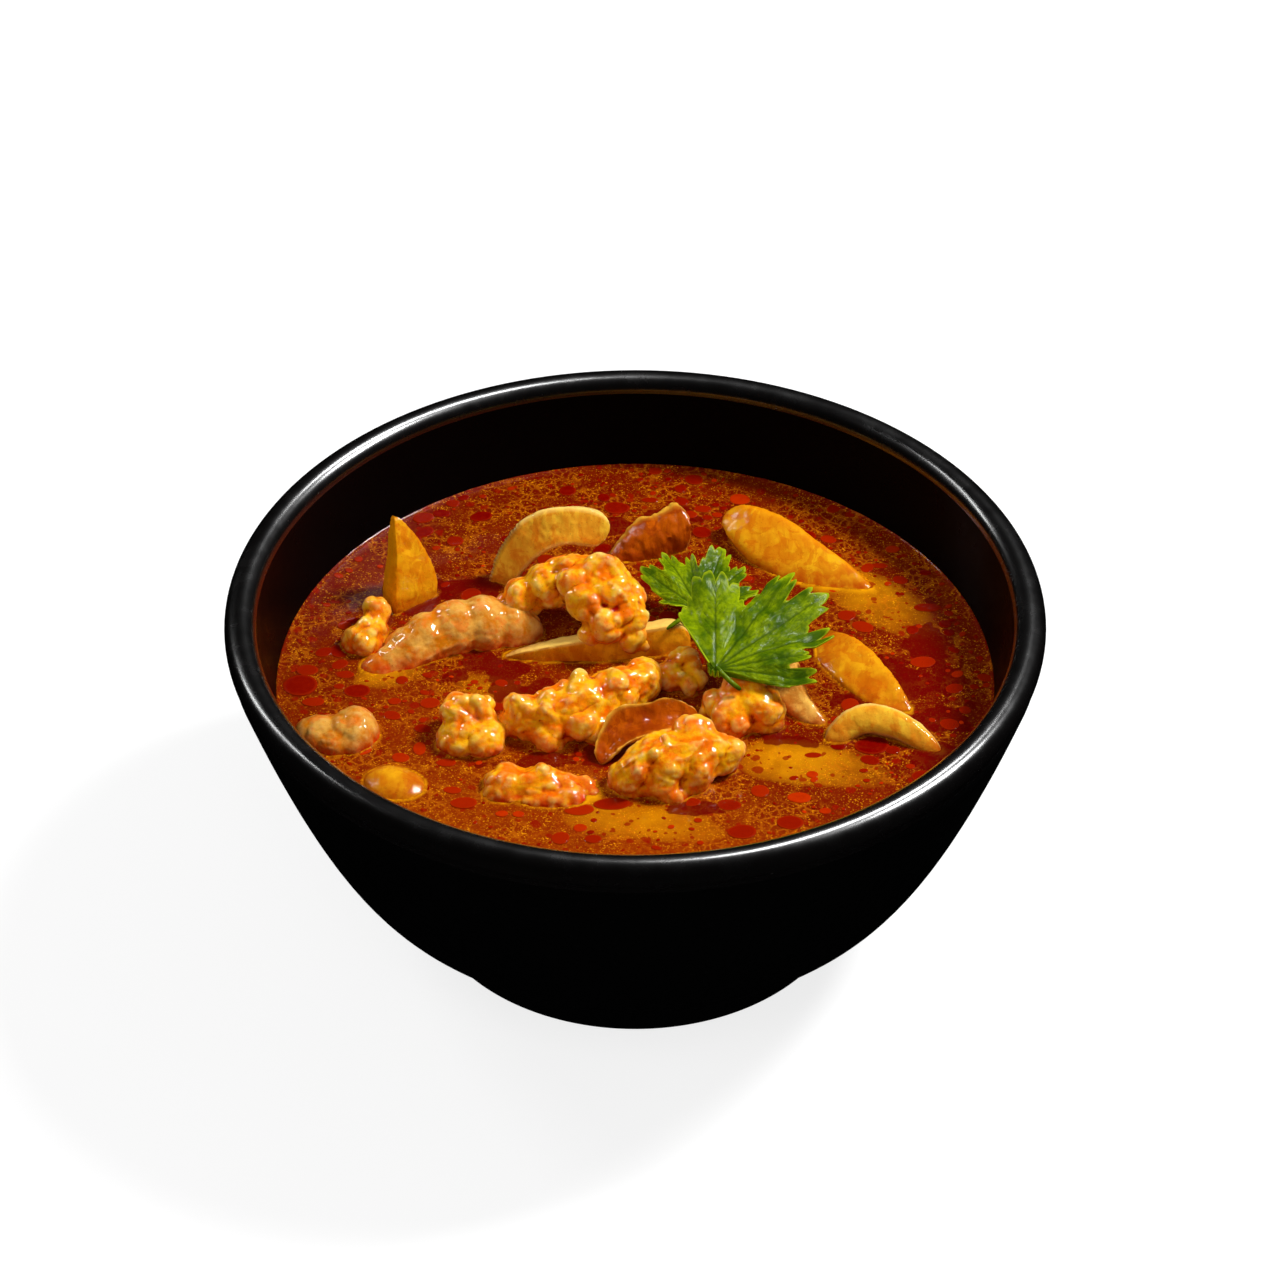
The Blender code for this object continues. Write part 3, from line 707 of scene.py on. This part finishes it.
# Pieces that lie under the surface and are not in the CAD, with what most of them share.
plainSunk = dict(face=(0.0, -0.05, 1.0), widest=0.45, blunt=(2.2, 2.0), square=2.6)
sunken = dict(
    sunkMushroomRight=dict(
        kind="mushroom", finish="mottled",
        spine=((22.0, -29.6, -3.4), (36.0, -27.4, -1.8), (55.0, -36.0, -4.6)),
        width=15.0, thickness=4.6, widest=0.42, blunt=(2.4, 2.0), seed=11),
    sunkMushroomFront=dict(
        kind="mushroom", finish="mottled",
        spine=((-15.0, -49.0, -4.0), (2.0, -47.6, -2.2), (19.0, -53.6, -4.2)),
        width=12.0, thickness=4.6, seed=12),
    sunkMushroomBack=dict(
        kind="mushroom", finish="mottled",
        spine=((46.0, 36.0, -3.4), (56.0, 28.0, -2.4), (66.0, 14.0, -4.6)),
        width=16.0, thickness=4.4, face=(0.0, 0.0, 1.0), seed=13),
    sunkChickenLeft=dict(
        kind="chicken", finish="pale",
        spine=((-62.0, -2.0, -4.6), (-56.0, 1.4, -2.6), (-47.0, 2.0, -5.0)),
        width=9.0, thickness=6.0, face=(0.0, -0.1, 1.0), blunt=(2.2, 2.2), square=2.2, seed=14),
    sunkChickenCentre=dict(
        kind="chicken", finish="pale",
        spine=((-40.0, -1.0, -5.0), (-32.0, -5.0, -3.4), (-22.0, -5.0, -6.0)),
        width=9.0, thickness=6.0, face=(0.0, -0.1, 1.0), blunt=(2.2, 2.2), square=2.2, seed=15))


def makeSunken():
    made = []
    for name, facts in sunken.items():
        piece = sweepPiece(name, {**plainSunk, **facts})
        kind = facts["kind"]
        material = bpy.data.materials[kind + facts["finish"].capitalize()]
        finishPiece(piece, material, kind + "_flesh")
        made.append(piece)
    print("sunk pieces made:", len(made))
    return made


# Coriander leaves: a lobe has a middle angle, a length, half a width in degrees and a number of teeth.
leaves = dict(
    corianderFront=dict(
        node="coriander_leaf_front", stalk=(17.4, -13.6, 13.2), lean=0.30, cup=-1.6, wave=1.1, seed=2,
        lobes=((89.0, 25.6, 23.0, 6), (56.2, 31.6, 8.6, 3), (39.6, 33.0, 9.0, 3), (24.0, 28.8, 7.0, 2),
               (10.6, 22.0, 7.0, 2), (-3.0, 22.6, 6.6, 2))),
    corianderBack=dict(
        node="coriander_leaf_back", stalk=(14.4, 15.2, 7.4), lean=0.20, cup=0.8, wave=0.9, seed=5,
        lobes=((139.0, 17.8, 10.0, 3), (114.6, 19.6, 9.6, 3), (98.0, 16.0, 7.0, 2), (73.0, 19.0, 13.0, 3),
               (49.0, 16.0, 11.0, 3), (24.0, 14.6, 14.0, 3), (160.0, 9.6, 11.0, 2))))


leafTurns, leafRings, leafThickness = 420, 46, 0.34


def leafReach(angle, lobes):
    # broad lobes with rounded teeth, parted by notches
    reach = 1.6
    for middle, length, half, teeth in lobes:
        gap = abs(angleGap(angle, middle)) / half
        if gap < 1.0:
            scallop = abs(math.sin(math.pi * teeth * (angleGap(angle, middle) / half + 1.0) / 2.0)) ** 0.6
            reach = max(reach, length * (1.0 - gap ** 3.0) ** 0.36 * (0.86 + 0.14 * scallop))
        reach = max(reach, 0.74 * length * max(0.0, 1.0 - (gap / 1.5) ** 8) ** 0.5)
    return reach * (1.0 + 0.014 * math.cos(math.radians(angle) * 71.0))


def segmentGap(points, start, end):
    # distance of plan points to a line from start to end, and how far along it they lie
    line = end - start
    length = max(np.linalg.norm(line), 1e-6)
    share = np.clip(((points - start) @ line) / length ** 2, 0.0, 1.0)
    return np.linalg.norm(points - start - share[:, None] * line, axis=1), share


def makeLeaf(name, facts):
    # a flat grid's length is laid round the stalk and its depth out to the leaf's edge
    bpy.ops.mesh.primitive_grid_add(x_subdivisions=leafTurns, y_subdivisions=leafRings, size=2.0)
    piece = rename(bpy.context.object, name)
    flat = readPoints(piece)
    angles = flat[:, 0] * 180.0
    shares = (flat[:, 1] + 1.0) * 0.5
    lobes = facts["lobes"]
    reach = np.array([leafReach(angle, lobes) for angle in angles])
    radius = reach * shares
    heading = np.radians(angles)
    plan = np.stack((radius * np.cos(heading), radius * np.sin(heading)), axis=1)
    vein = np.zeros(len(plan))
    rib = np.zeros(len(plan))
    for middle, length, half, teeth in lobes:
        ahead = math.radians(middle)
        tip = np.array((math.cos(ahead), math.sin(ahead))) * length * 0.93
        gap, share = segmentGap(plan, np.zeros(2), tip)
        vein = np.maximum(vein, np.exp(-(gap / (0.42 - 0.24 * share)) ** 2))
        rib = np.maximum(rib, np.exp(-(gap / 1.6) ** 2))
        for step in range(3, 10):
            root = tip * step / 10.5
            side = 1.0 if step % 2 else -1.0
            for turn in (side * 34.0, -side * 30.0):
                off = ahead + math.radians(turn)
                twig = np.array((math.cos(off), math.sin(off))) * length * 0.24 * (1.25 - step / 10.0)
                gap, share = segmentGap(plan, root, root + twig)
                vein = np.maximum(vein, 0.7 * np.exp(-(gap / 0.16) ** 2))
    z = facts["cup"] * (radius / 30.0) ** 2 + facts["lean"] * plan[:, 1]
    bumps = np.array([noise.noise(Vector((x * 0.16, y * 0.16, facts["seed"]))) for x, y in plan])
    ripple = np.array([noise.noise(Vector((x * 0.7, y * 0.7, facts["seed"] + 9.0))) for x, y in plan])
    z += facts["wave"] * 1.6 * bumps * shares + 0.22 * ripple - 0.45 * rib * shares - 0.16 * vein
    z += 0.9 * facts["wave"] * np.sin(heading * 9.0) * shares ** 2
    stalk = Vector(facts["stalk"])
    points = np.stack((plan[:, 0] + stalk.x, plan[:, 1] + stalk.y, z + stalk.z + brothLevel), axis=1)
    writePoints(piece, points * mm)
    storeValues(piece, "vein", vein)
    storeValues(piece, "reach", shares)
    weld(piece, 2.0 * weldGap)
    faceUp(piece)
    modify(piece, "SOLIDIFY", thickness=leafThickness * mm, offset=-1.0)
    bpy.ops.object.shade_smooth()
    return piece


def faceUp(piece):
    # a sheet's faces all look up before it gets its thickness
    faceOut(piece)
    if sum(face.normal.z * face.area for face in piece.data.polygons) < 0.0:
        editAll(piece)
        bpy.ops.mesh.flip_normals()
        leaveEdit()


def leafFinish():
    leaf = Finish("corianderGreen", 0.45, coat=0.12, coatRoughness=0.14, specular=0.04)
    patch = leaf.span(leaf.noise(7.0, 4.0, 0.6), 0.38, 0.62)
    base = leaf.mix(patch, colour(64, 92, 0), colour(140, 160, 0))
    fine = leaf.span(leaf.noise(0.9, 4.0, 0.65), 0.42, 0.66)
    base = leaf.over(base, fine, 0.55, colour(58, 90, 0))
    base = leaf.over(base, leaf.attribute("vein"), 0.75, colour(36, 62, 0))
    edge = leaf.span(leaf.attribute("reach"), 0.955, 1.0)
    base = leaf.over(base, edge, 0.6, colour(176, 190, 20))
    leaf.paint(base)
    leaf.bump(leaf.noise(0.8, 4.0, 0.6), 0.6, 0.16, film=False)
    return leaf.material


stems = dict(
    stemFront=dict(spine=((17.6, -13.2, 13.4), (20.0, -16.0, 12.0), (23.0, -16.6, 9.6)), width=1.1),
    stemBack=dict(spine=((14.0, 14.0, 7.6), (10.8, 11.0, 8.6), (7.0, 8.4, 6.8)), width=1.0))


def makeCoriander():
    green = leafFinish()
    made = []
    for (name, facts), stem in zip(leaves.items(), stems.values()):
        piece = makeLeaf(name, facts)
        stem = dict(stem, thickness=stem["width"], face=(0.0, 0.0, 1.0), widest=0.5, blunt=(6.0, 6.0),
                    square=2.0, sides=14, rings=30, swells=((1.0, 0.1),))
        joinInto(piece, [sweepPiece(name + "Stem", stem)])
        finishPiece(piece, green, "leaf_green", facts["node"])
        made.append(piece)
    print("coriander made:", len(made))
    return made


# The broth, level but drawn up against the wall and round each piece. A dark pool, partly oil and partly
# painted shade beside and under the pieces, has a middle, half a length, half a width and a turn in
# degrees.
broth = dict(
    cells=260, wallRise=0.7, wallReach=0.6, pieceRise=0.40, pieceReach=0.5, clearDepth=1.3, wallGap=0.15,
    orange=colour(144, 50, 0), red=colour(106, 9, 0), gold=colour(232, 150, 8), oil=colour(102, 0, 0),
    oilPoolsAndShade=((-34, 3, 13, 6, -14), (-26, -4.6, 9, 4.6, 0), (62, 0, 11, 10, 10),
           (66, 12, 9, 6, -30), (68, -14, 7, 9, 0), (-6, -27, 9, 4.4, 20),
           (14, -23, 9, 4, -8), (0, -3, 12, 4, 10), (32, -22, 8, 3.4, -20),
           (-6, 56, 13, 5, 0), (10, 60, 9, 4, 0), (8, 34, 9, 7, 0),
           (-14, 12, 9, 4, 10), (-46, 22, 6, 9, 20), (48, -10, 4, 7, 20),
           (-20, -30, 12, 3.4, 4), (12, -44.6, 6, 2.6, 0), (-38, 30, 8, 5, 0),
           (-12, 8, 12, 3, 6), (30, 6, 6, 12, 10), (66, -28, 8, 6, 30),
           (28, 24, 8, 5, -20)))


def joinedTree(pieces):
    points, faces, offset = [], [], 0
    for piece in pieces:
        points += [tuple(point) for point in readPoints(piece)]
        faces += [[index + offset for index in face.vertices] for face in piece.data.polygons]
        offset = len(points)
    return BVHTree.FromPolygons(points, faces)


def brothRadius():
    return wallRadius(brothLevel + broth["wallRise"]) + 0.12


def makeBroth(tree):
    cells = broth["cells"]
    bpy.ops.mesh.primitive_grid_add(x_subdivisions=cells, y_subdivisions=cells, size=2.0)
    piece = rename(bpy.context.object, "tomYumBroth")
    flat = readPoints(piece)
    x = flat[:, 0] * np.sqrt(1.0 - flat[:, 1] ** 2 / 2.0)
    y = flat[:, 1] * np.sqrt(1.0 - flat[:, 0] ** 2 / 2.0)
    outer = brothRadius()
    gap = (1.0 - np.sqrt(x ** 2 + y ** 2)) * outer
    x, y = x * outer, y * outer
    rise = broth["wallRise"] * np.exp(-np.maximum(gap, 0.0) / broth["wallReach"])
    shallow = np.zeros(len(x))
    oilPoolAndShade = np.zeros(len(x))
    surface = brothLevel + 0.03
    for index in range(len(x)):
        spot = Vector((x[index], y[index], surface)) * mm
        near = tree.find_nearest(spot, 5.0 * mm)
        if near[0] is not None:
            rise[index] += broth["pieceRise"] * math.exp(-near[3] / mm / broth["pieceReach"])
        below = tree.ray_cast(spot, Vector((0.0, 0.0, -1.0)), 12.0 * mm)
        if below[0] is not None:
            shallow[index] = math.exp(-below[3] / mm / broth["clearDepth"])
        if near[0] is not None and near[3] < 0.4 * mm:
            shallow[index] = max(shallow[index], 0.3)
        warp = noise.noise(spot / mm * 0.16) * 0.9 + noise.noise(spot / mm * 0.5) * 0.35
        # the dark pools: oil lying on the broth, and painted shade beside and under the pieces
        for centreX, centreY, wide, deep, turn in broth["oilPoolsAndShade"]:
            ahead = math.radians(turn)
            offX, offY = x[index] - centreX, y[index] - centreY
            if abs(offX) > 20.0 or abs(offY) > 20.0:
                continue
            alongX = (offX * math.cos(ahead) + offY * math.sin(ahead)) / wide
            alongY = (-offX * math.sin(ahead) + offY * math.cos(ahead)) / deep
            oilPoolAndShade[index] = max(oilPoolAndShade[index], 1.0 + warp - math.hypot(alongX, alongY))
    oilPoolAndShade = np.clip(oilPoolAndShade * 2.2, 0.0, 1.0)
    ripple = np.array([noise.noise(Vector((a * 0.35, b * 0.35, 3.0))) for a, b in zip(x, y)])
    z = brothLevel + rise + 0.06 * ripple + 0.10 * oilPoolAndShade
    writePoints(piece, np.stack((x, y, z), axis=1) * mm)
    storeValues(piece, "shallow", shallow)
    storeValues(piece, "oilPoolAndShade", oilPoolAndShade)
    # the body under the surface follows the bowl's wall down to its floor
    activate(piece)
    bpy.ops.object.mode_set(mode="EDIT")
    bpy.ops.mesh.select_mode(type="EDGE")
    bpy.ops.mesh.select_all(action="DESELECT")
    bpy.ops.mesh.select_non_manifold()
    level = brothLevel + broth["wallRise"]
    before = outer
    for share in (0.9, 0.74, 0.56, 0.38, 0.2, 0.08, 0.01):
        height = bowl["floorHeight"] + 0.3 + (brothLevel - bowl["floorHeight"]) * share
        radius = wallRadius(height) - broth["wallGap"]
        drop = (0.0, 0.0, (height - level) * mm)
        bpy.ops.mesh.extrude_edges_move(TRANSFORM_OT_translate={"value": drop})
        scale = radius / before
        bpy.ops.transform.resize(value=(scale, scale, 1.0), center_override=(0.0, 0.0, height * mm))
        level, before = height, radius
    bpy.ops.mesh.edge_face_add()
    bpy.ops.mesh.select_mode(type="VERT")
    leaveEdit()
    faceOut(piece)
    bpy.ops.object.shade_smooth()
    finishPiece(piece, brothFinish(), "broth_orange", "broth")
    print("broth made")
    return piece


def brothFinish():
    soup = Finish("tomYumBroth", 0.35, coat=0.22, coatRoughness=0.04, specular=0.04)
    # painted shade: toward the back and the right the broth is painted darker and redder, partly the
    # wall's shade and partly deeper, oilier broth
    rightShadeAndDepth = soup.span(soup.axis("X", 12.0, 54.0), 0.0, 1.0, 0.0, 0.9)
    backShadeAndDepth = soup.maths("ADD", soup.axis("Y", -66.0, 16.0), rightShadeAndDepth)
    drift = soup.maths("ADD", backShadeAndDepth, soup.span(soup.noise(16.0, 4.0, 0.6), 0.2, 0.8, -0.4, 0.4))
    # fewer golden grains where the broth is painted in shade
    lively = soup.span(backShadeAndDepth, 0.0, 1.0, 1.0, 0.45)
    base = soup.mix(drift, broth["orange"], broth["red"])
    cloud = soup.span(soup.noise(5.0, 5.0, 0.7, 0.8), 0.46, 0.66)
    base = soup.over(base, cloud, 0.6, colour(118, 22, 0))
    clearness = soup.span(soup.noise(5.0, 4.0, 0.6), 0.3, 0.6, 0.55, 1.0)
    base = soup.over(base, soup.attribute("shallow"), clearness, colour(236, 158, 4))
    # a net of pale fat between small cells of oil, in patches
    bent = soup.add("VectorMath")
    bent.operation = "MULTIPLY_ADD"
    wander = soup.add("TexNoise", Scale=1.0 / (2.4 * mm))
    soup.link(soup.coords, wander.inputs["Vector"])
    soup.link(wander.outputs["Color"], bent.inputs[0])
    bent.inputs[1].default_value = (1.6 * mm, 1.6 * mm, 1.6 * mm)
    soup.link(soup.coords, bent.inputs[2])
    net = soup.voronoi(2.3, "DISTANCE_TO_EDGE", bent.outputs[0])
    line = soup.span(net.outputs["Distance"], 0.02, 0.14, 1.0, 0.0)
    patch = soup.span(soup.noise(8.0, 3.0, 0.6), 0.44, 0.60)
    base = soup.over(base, line, soup.maths("MULTIPLY", patch, 0.55), colour(196, 104, 6))
    # gold specks of fat and spice, in drifts; the finer grain is fainter where the broth is painted in
    # shade
    grain = soup.span(soup.noise(0.9, 4.0, 0.7), 0.50, 0.72)
    base = soup.over(base, grain, soup.maths("MULTIPLY", lively, 0.42), colour(200, 100, 0))
    specks = soup.span(soup.noise(0.42, 2.0, 0.5), 0.60, 0.66)
    drifts = soup.span(soup.noise(4.0, 3.0, 0.6), 0.36, 0.60, 0.2, 1.0)
    base = soup.over(base, specks, soup.maths("MULTIPLY", drifts, 0.85), broth["gold"])
    # little round drops of chilli oil in the broth's skin
    for size, reach in ((3.4, 0.40), (1.9, 0.36)):
        warped = soup.voronoi(size, "F1", bent.outputs[0])
        cell = soup.add("SeparateColor")
        soup.link(warped.outputs["Color"], cell.inputs[0])
        limit = soup.span(cell.outputs[0], 0.45, 1.0, 0.0, reach)
        inside = soup.maths("SUBTRACT", limit, warped.outputs["Distance"])
        base = soup.over(base, soup.span(inside, 0.0, 0.04), 0.8, colour(138, 14, 0))
    # the dark pools in the oil colour: partly oil, partly painted shade beside and under the pieces
    oilPoolAndShadeEdge = soup.span(soup.attribute("oilPoolAndShade"), 0.35, 0.5)
    base = soup.over(base, oilPoolAndShadeEdge, 0.86, broth["oil"])
    soup.paint(base)
    soup.bump(soup.noise(0.8, 4.0, 0.65), 0.22, 0.12, film=False)
    return soup.material


# Drops of chilli oil that float on the broth: the large ones have a place, half a length, half a width and
# a tone from dark to bright, and the small ones are sprinkled.
drops = dict(
    count=660, seed=7, tries=12000, sides=22, smallest=0.35, spread=1.9, lowest=0.07, fullness=0.03,
    placed=((-74.2, -3, 3.9, 3.6, 0.1), (-73, 2.4, 2.4, 1.9, 0.3), (-64.5, 0.8, 2, 1.3, 0.3),
            (-65.6, -3.4, 1.2, 1, 0.3), (-61.5, -5, 2.8, 2.4, 0.1), (-71, -8.8, 2.6, 1.5, 0.4),
            (-60.1, -24.8, 2.9, 2.4, 0.9), (-5, -43.6, 4, 2, 0.2), (-12.1, -45.4, 3.2, 2, 0.5),
            (7, -41.6, 3.4, 2.2, 0.2), (11.9, -43, 2, 1.5, 0.3), (20.1, -44, 2.6, 1.8, 0.2),
            (22.7, -52.8, 3.2, 2.2, 0.2), (33, -49.8, 2.9, 2.2, 0.2), (35.2, -41.6, 2.5, 1.8, 0.8),
            (26.8, -39.4, 2, 2, 0.5), (38.2, -33.9, 1.3, 1.2, 0.8), (51.6, -24.1, 3.9, 2.9, 0),
            (55.9, -25.6, 1.7, 1.4, 0.1), (44.2, -24.2, 1.7, 1.4, 0), (38.6, -27.4, 1.9, 1, 0.3),
            (-11.8, -51.5, 1.5, 1.3, 0.7), (-9, -55.1, 1.8, 1.4, 0.3), (-46.4, -38.4, 2.1, 1.6, 0),
            (-10.5, 61.6, 1.7, 1.4, 0.2), (-4.3, 62.8, 2.9, 2.4, 0.1), (-14.5, 62.8, 2, 1.6, 0.2),
            (3.4, 65.9, 1.9, 1, 0.2), (15.8, 62.4, 2, 1.4, 0.3), (-41.6, 50, 2, 1.8, 0.2),
            (-66, 9.2, 2.4, 2.2, 0.1), (45.4, 33.1, 2.2, 2.5, 0.9), (51.8, 34.9, 1.6, 1.2, 0.7),
            (47.7, 22, 2, 1.9, 0.3), (66.2, 24.9, 3.1, 1.5, 0.2), (56, 40.5, 1.9, 1, 0.3),
            (-30.6, -10.6, 2.3, 1.4, 0.3), (-40.6, -11.3, 2.2, 1.9, 0.3), (-47, -25, 1.4, 2.2, 0.6),
            (-41, -29.8, 2.1, 1.4, 0.4), (-36.8, -43.2, 3, 1.8, 0.4), (-39.4, -39, 2, 1.2, 0.5),
            (-28.6, -46.8, 1.4, 1, 0.8), (-25, -47, 1.3, 1, 0.8), (-8.2, 56.6, 1.8, 1.3, 0.2),
            (-17.5, 57.7, 1.5, 1, 0.2), (-53.4, -47.6, 2, 1.2, 0.4), (40.6, -46, 1.3, 1, 0.7)))


def spaceFree(x, y, radius, tree, taken):
    # clear of the food, and no more than touching another drop
    near = tree.find_nearest(Vector((x, y, brothLevel + 0.3)) * mm, (radius + 0.3) * mm)
    if near[0] is not None:
        return False
    return all((x - otherX) ** 2 + (y - otherY) ** 2 > (0.86 * (radius + otherRadius)) ** 2
               for otherX, otherY, otherRadius in taken)


def modelDrop():
    # a low round drop, one millimetre in radius and in height
    bpy.ops.mesh.primitive_circle_add(
        vertices=drops["sides"], radius=mm, fill_type="NGON", location=(0.0, 0.0, -0.8 * mm))
    piece = rename(bpy.context.object, "oilDrop")
    editAll(piece)
    for rise, narrow in ((1.1, 1.0), (0.55, 0.93), (0.15, 0.86)):
        bpy.ops.mesh.extrude_region_move(TRANSFORM_OT_translate={"value": (0.0, 0.0, rise * mm)})
        bpy.ops.transform.resize(value=(narrow, narrow, 1.0))
    leaveEdit()
    activate(piece)
    bpy.ops.object.transform_apply(location=True)
    tidyMesh(piece)
    points = readPoints(piece)
    storeValues(piece, "rim", np.hypot(points[:, 0], points[:, 1]) > 0.88 * mm)
    return piece


def copyDrop(model, x, y, wide, deep, turn, tone, rng):
    piece = model.copy()
    piece.data = model.data.copy()
    bpy.context.scene.collection.objects.link(piece)
    points = readPoints(piece)
    height = drops["lowest"] + drops["fullness"] * min(wide, deep)
    lump, start = rng.uniform(-0.06, 0.06), rng.uniform(0.0, math.tau)
    angles = np.arctan2(points[:, 1], points[:, 0])
    swelling = 1.0 + lump * np.cos(2.0 * angles + start) + 0.5 * lump * np.cos(3.0 * angles)
    along, side = points[:, 0] * wide * swelling, points[:, 1] * deep * swelling
    spread = (along * math.cos(turn) - side * math.sin(turn) + x * mm,
              along * math.sin(turn) + side * math.cos(turn) + y * mm)
    writePoints(piece, np.stack((*spread, points[:, 2] * height + (brothLevel + 0.06) * mm), axis=1))
    storeValues(piece, "tone", np.full(len(points), tone))
    return piece


def makeDrops(tree):
    rng = random.Random(drops["seed"])
    model = modelDrop()
    made, taken = [], []
    for x, y, wide, deep, tone in drops["placed"]:
        made.append(copyDrop(model, x, y, wide, deep, 0.0, tone, rng))
        taken.append((x, y, max(wide, deep)))
    tries = 0
    while len(made) < drops["count"] and tries < drops["tries"]:
        tries += 1
        reach = (brothRadius() - 1.6) * math.sqrt(rng.random())
        heading = rng.uniform(0.0, math.tau)
        x, y = reach * math.cos(heading), reach * math.sin(heading)
        radius = drops["smallest"] + drops["spread"] * rng.random() ** 3.2
        crowd = noise.noise(Vector((x * 0.06, y * 0.06, 4.0))) + (0.25 if y > 40.0 else 0.0)
        if rng.random() > 0.55 + crowd or not spaceFree(x, y, radius, tree, taken):
            continue
        tone = min(1.0, abs(rng.gauss(0.0, 0.32)) + (0.12 if y < 0.0 else 0.0))
        wide = radius * rng.uniform(1.0, 1.5)
        made.append(copyDrop(model, x, y, wide, radius, rng.gauss(0.0, 0.5), tone, rng))
        taken.append((x, y, radius * 1.2))
    bpy.data.objects.remove(model)
    piece = rename(joinInto(made[0], made[1:]), "chilliOilDrops")
    activate(piece)
    bpy.ops.object.shade_smooth_by_angle(angle=math.radians(60.0))
    oil = Finish("chilliOil", 0.25, coat=0.35, coatRoughness=0.03, specular=0.03)
    base = oil.mix(oil.attribute("tone"), colour(116, 0, 0), colour(196, 50, 0))
    # painted highlight: the drops are painted lighter round the rim
    base = oil.over(base, oil.attribute("rim"), 0.25, colour(176, 50, 0))
    base = oil.over(base, oil.span(oil.noise(1.4, 3.0), 0.45, 0.7), 0.35, colour(150, 24, 0))
    oil.paint(base)
    finishPiece(piece, oil.material, "broth_orange")
    print("oil drops made:", len(made))
    return piece


# Camera, light and floor, in metres.
studio = dict(
    cameraPlace=(0.0, -0.7722, 0.6813), lookAt=(0.00105, 0.0, 0.072), lens=125.4,
    world=0.20,
    lights=(
        dict(name="keyBox", place=(0.75, 0.27, 1.05), size=(0.20, 0.34), power=18.0, mirrored=True),
        dict(name="lipStrip", place=(0.246, 0.394, 0.953), size=(0.16, 0.44), power=8.0, mirrored=True,
             bowlOnly=True),
        dict(name="leftStrip", place=(-0.84, 0.54, 0.80), size=(0.07, 0.60), power=3.0, mirrored=True),
        dict(name="frontFill", place=(-0.30, -0.90, 1.30), size=(0.9, 0.6), power=4.6, mirrored=False)))


def aim(thing, place, target):
    thing.location = place
    thing.rotation_euler = (Vector(target) - Vector(place)).to_track_quat("-Z", "Y").to_euler()


def makeStudio(bowlPiece):
    camera = bpy.data.cameras.new("camera")
    camera.lens = studio["lens"]
    camera.sensor_width = 36.0
    camera.clip_start = 0.05
    viewer = bpy.data.objects.new("camera", camera)
    bpy.context.scene.collection.objects.link(viewer)
    aim(viewer, studio["cameraPlace"], studio["lookAt"])
    bpy.context.scene.camera = viewer
    for facts in studio["lights"]:
        light = bpy.data.lights.new(facts["name"], "AREA")
        light.shape = "RECTANGLE"
        light.size, light.size_y = facts["size"]
        light.energy = facts["power"]
        holder = bpy.data.objects.new(facts["name"], light)
        bpy.context.scene.collection.objects.link(holder)
        aim(holder, facts["place"], (0.0, 0.0, 0.06))
        holder.visible_glossy = facts["mirrored"]
        if facts.get("bowlOnly"):
            # this one is there for the shine along the lip alone
            holder.visible_diffuse = False
            lit = bpy.data.collections.new(facts["name"])
            lit.objects.link(bowlPiece)
            holder.light_linking.receiver_collection = lit
    world = bpy.data.worlds.new("studio")
    bpy.context.scene.world = world
    world.use_nodes = True
    background = world.node_tree.nodes["Background"]
    background.inputs["Color"].default_value = (1.0, 1.0, 1.0, 1.0)
    background.inputs["Strength"].default_value = studio["world"]
    world.cycles_visibility.glossy = False
    bpy.context.scene.view_settings.view_transform = "Standard"
    bpy.ops.mesh.primitive_plane_add(size=14.0)
    floor = rename(bpy.context.object, "floor")
    pale = Finish("paleFloor", 0.9, specular=0.1)
    pale.paint(pale.mix(pale.noise(40.0), (0.30, 0.30, 0.30, 1.0), (0.32, 0.32, 0.32, 1.0)))
    pale.shader.inputs["Emission Color"].default_value = (1.0, 1.0, 1.0, 1.0)
    pale.shader.inputs["Emission Strength"].default_value = 0.81
    floor.data.materials.append(pale.material)
    floor.visible_glossy = False
    print("studio ready")


blackBowl = makeBowl()
food = makeMushrooms() + makeChickens() + makeSunken()
makeCoriander()
foodTree = joinedTree(food)
makeBroth(foodTree)
makeDrops(foodTree)
makeStudio(blackBowl)
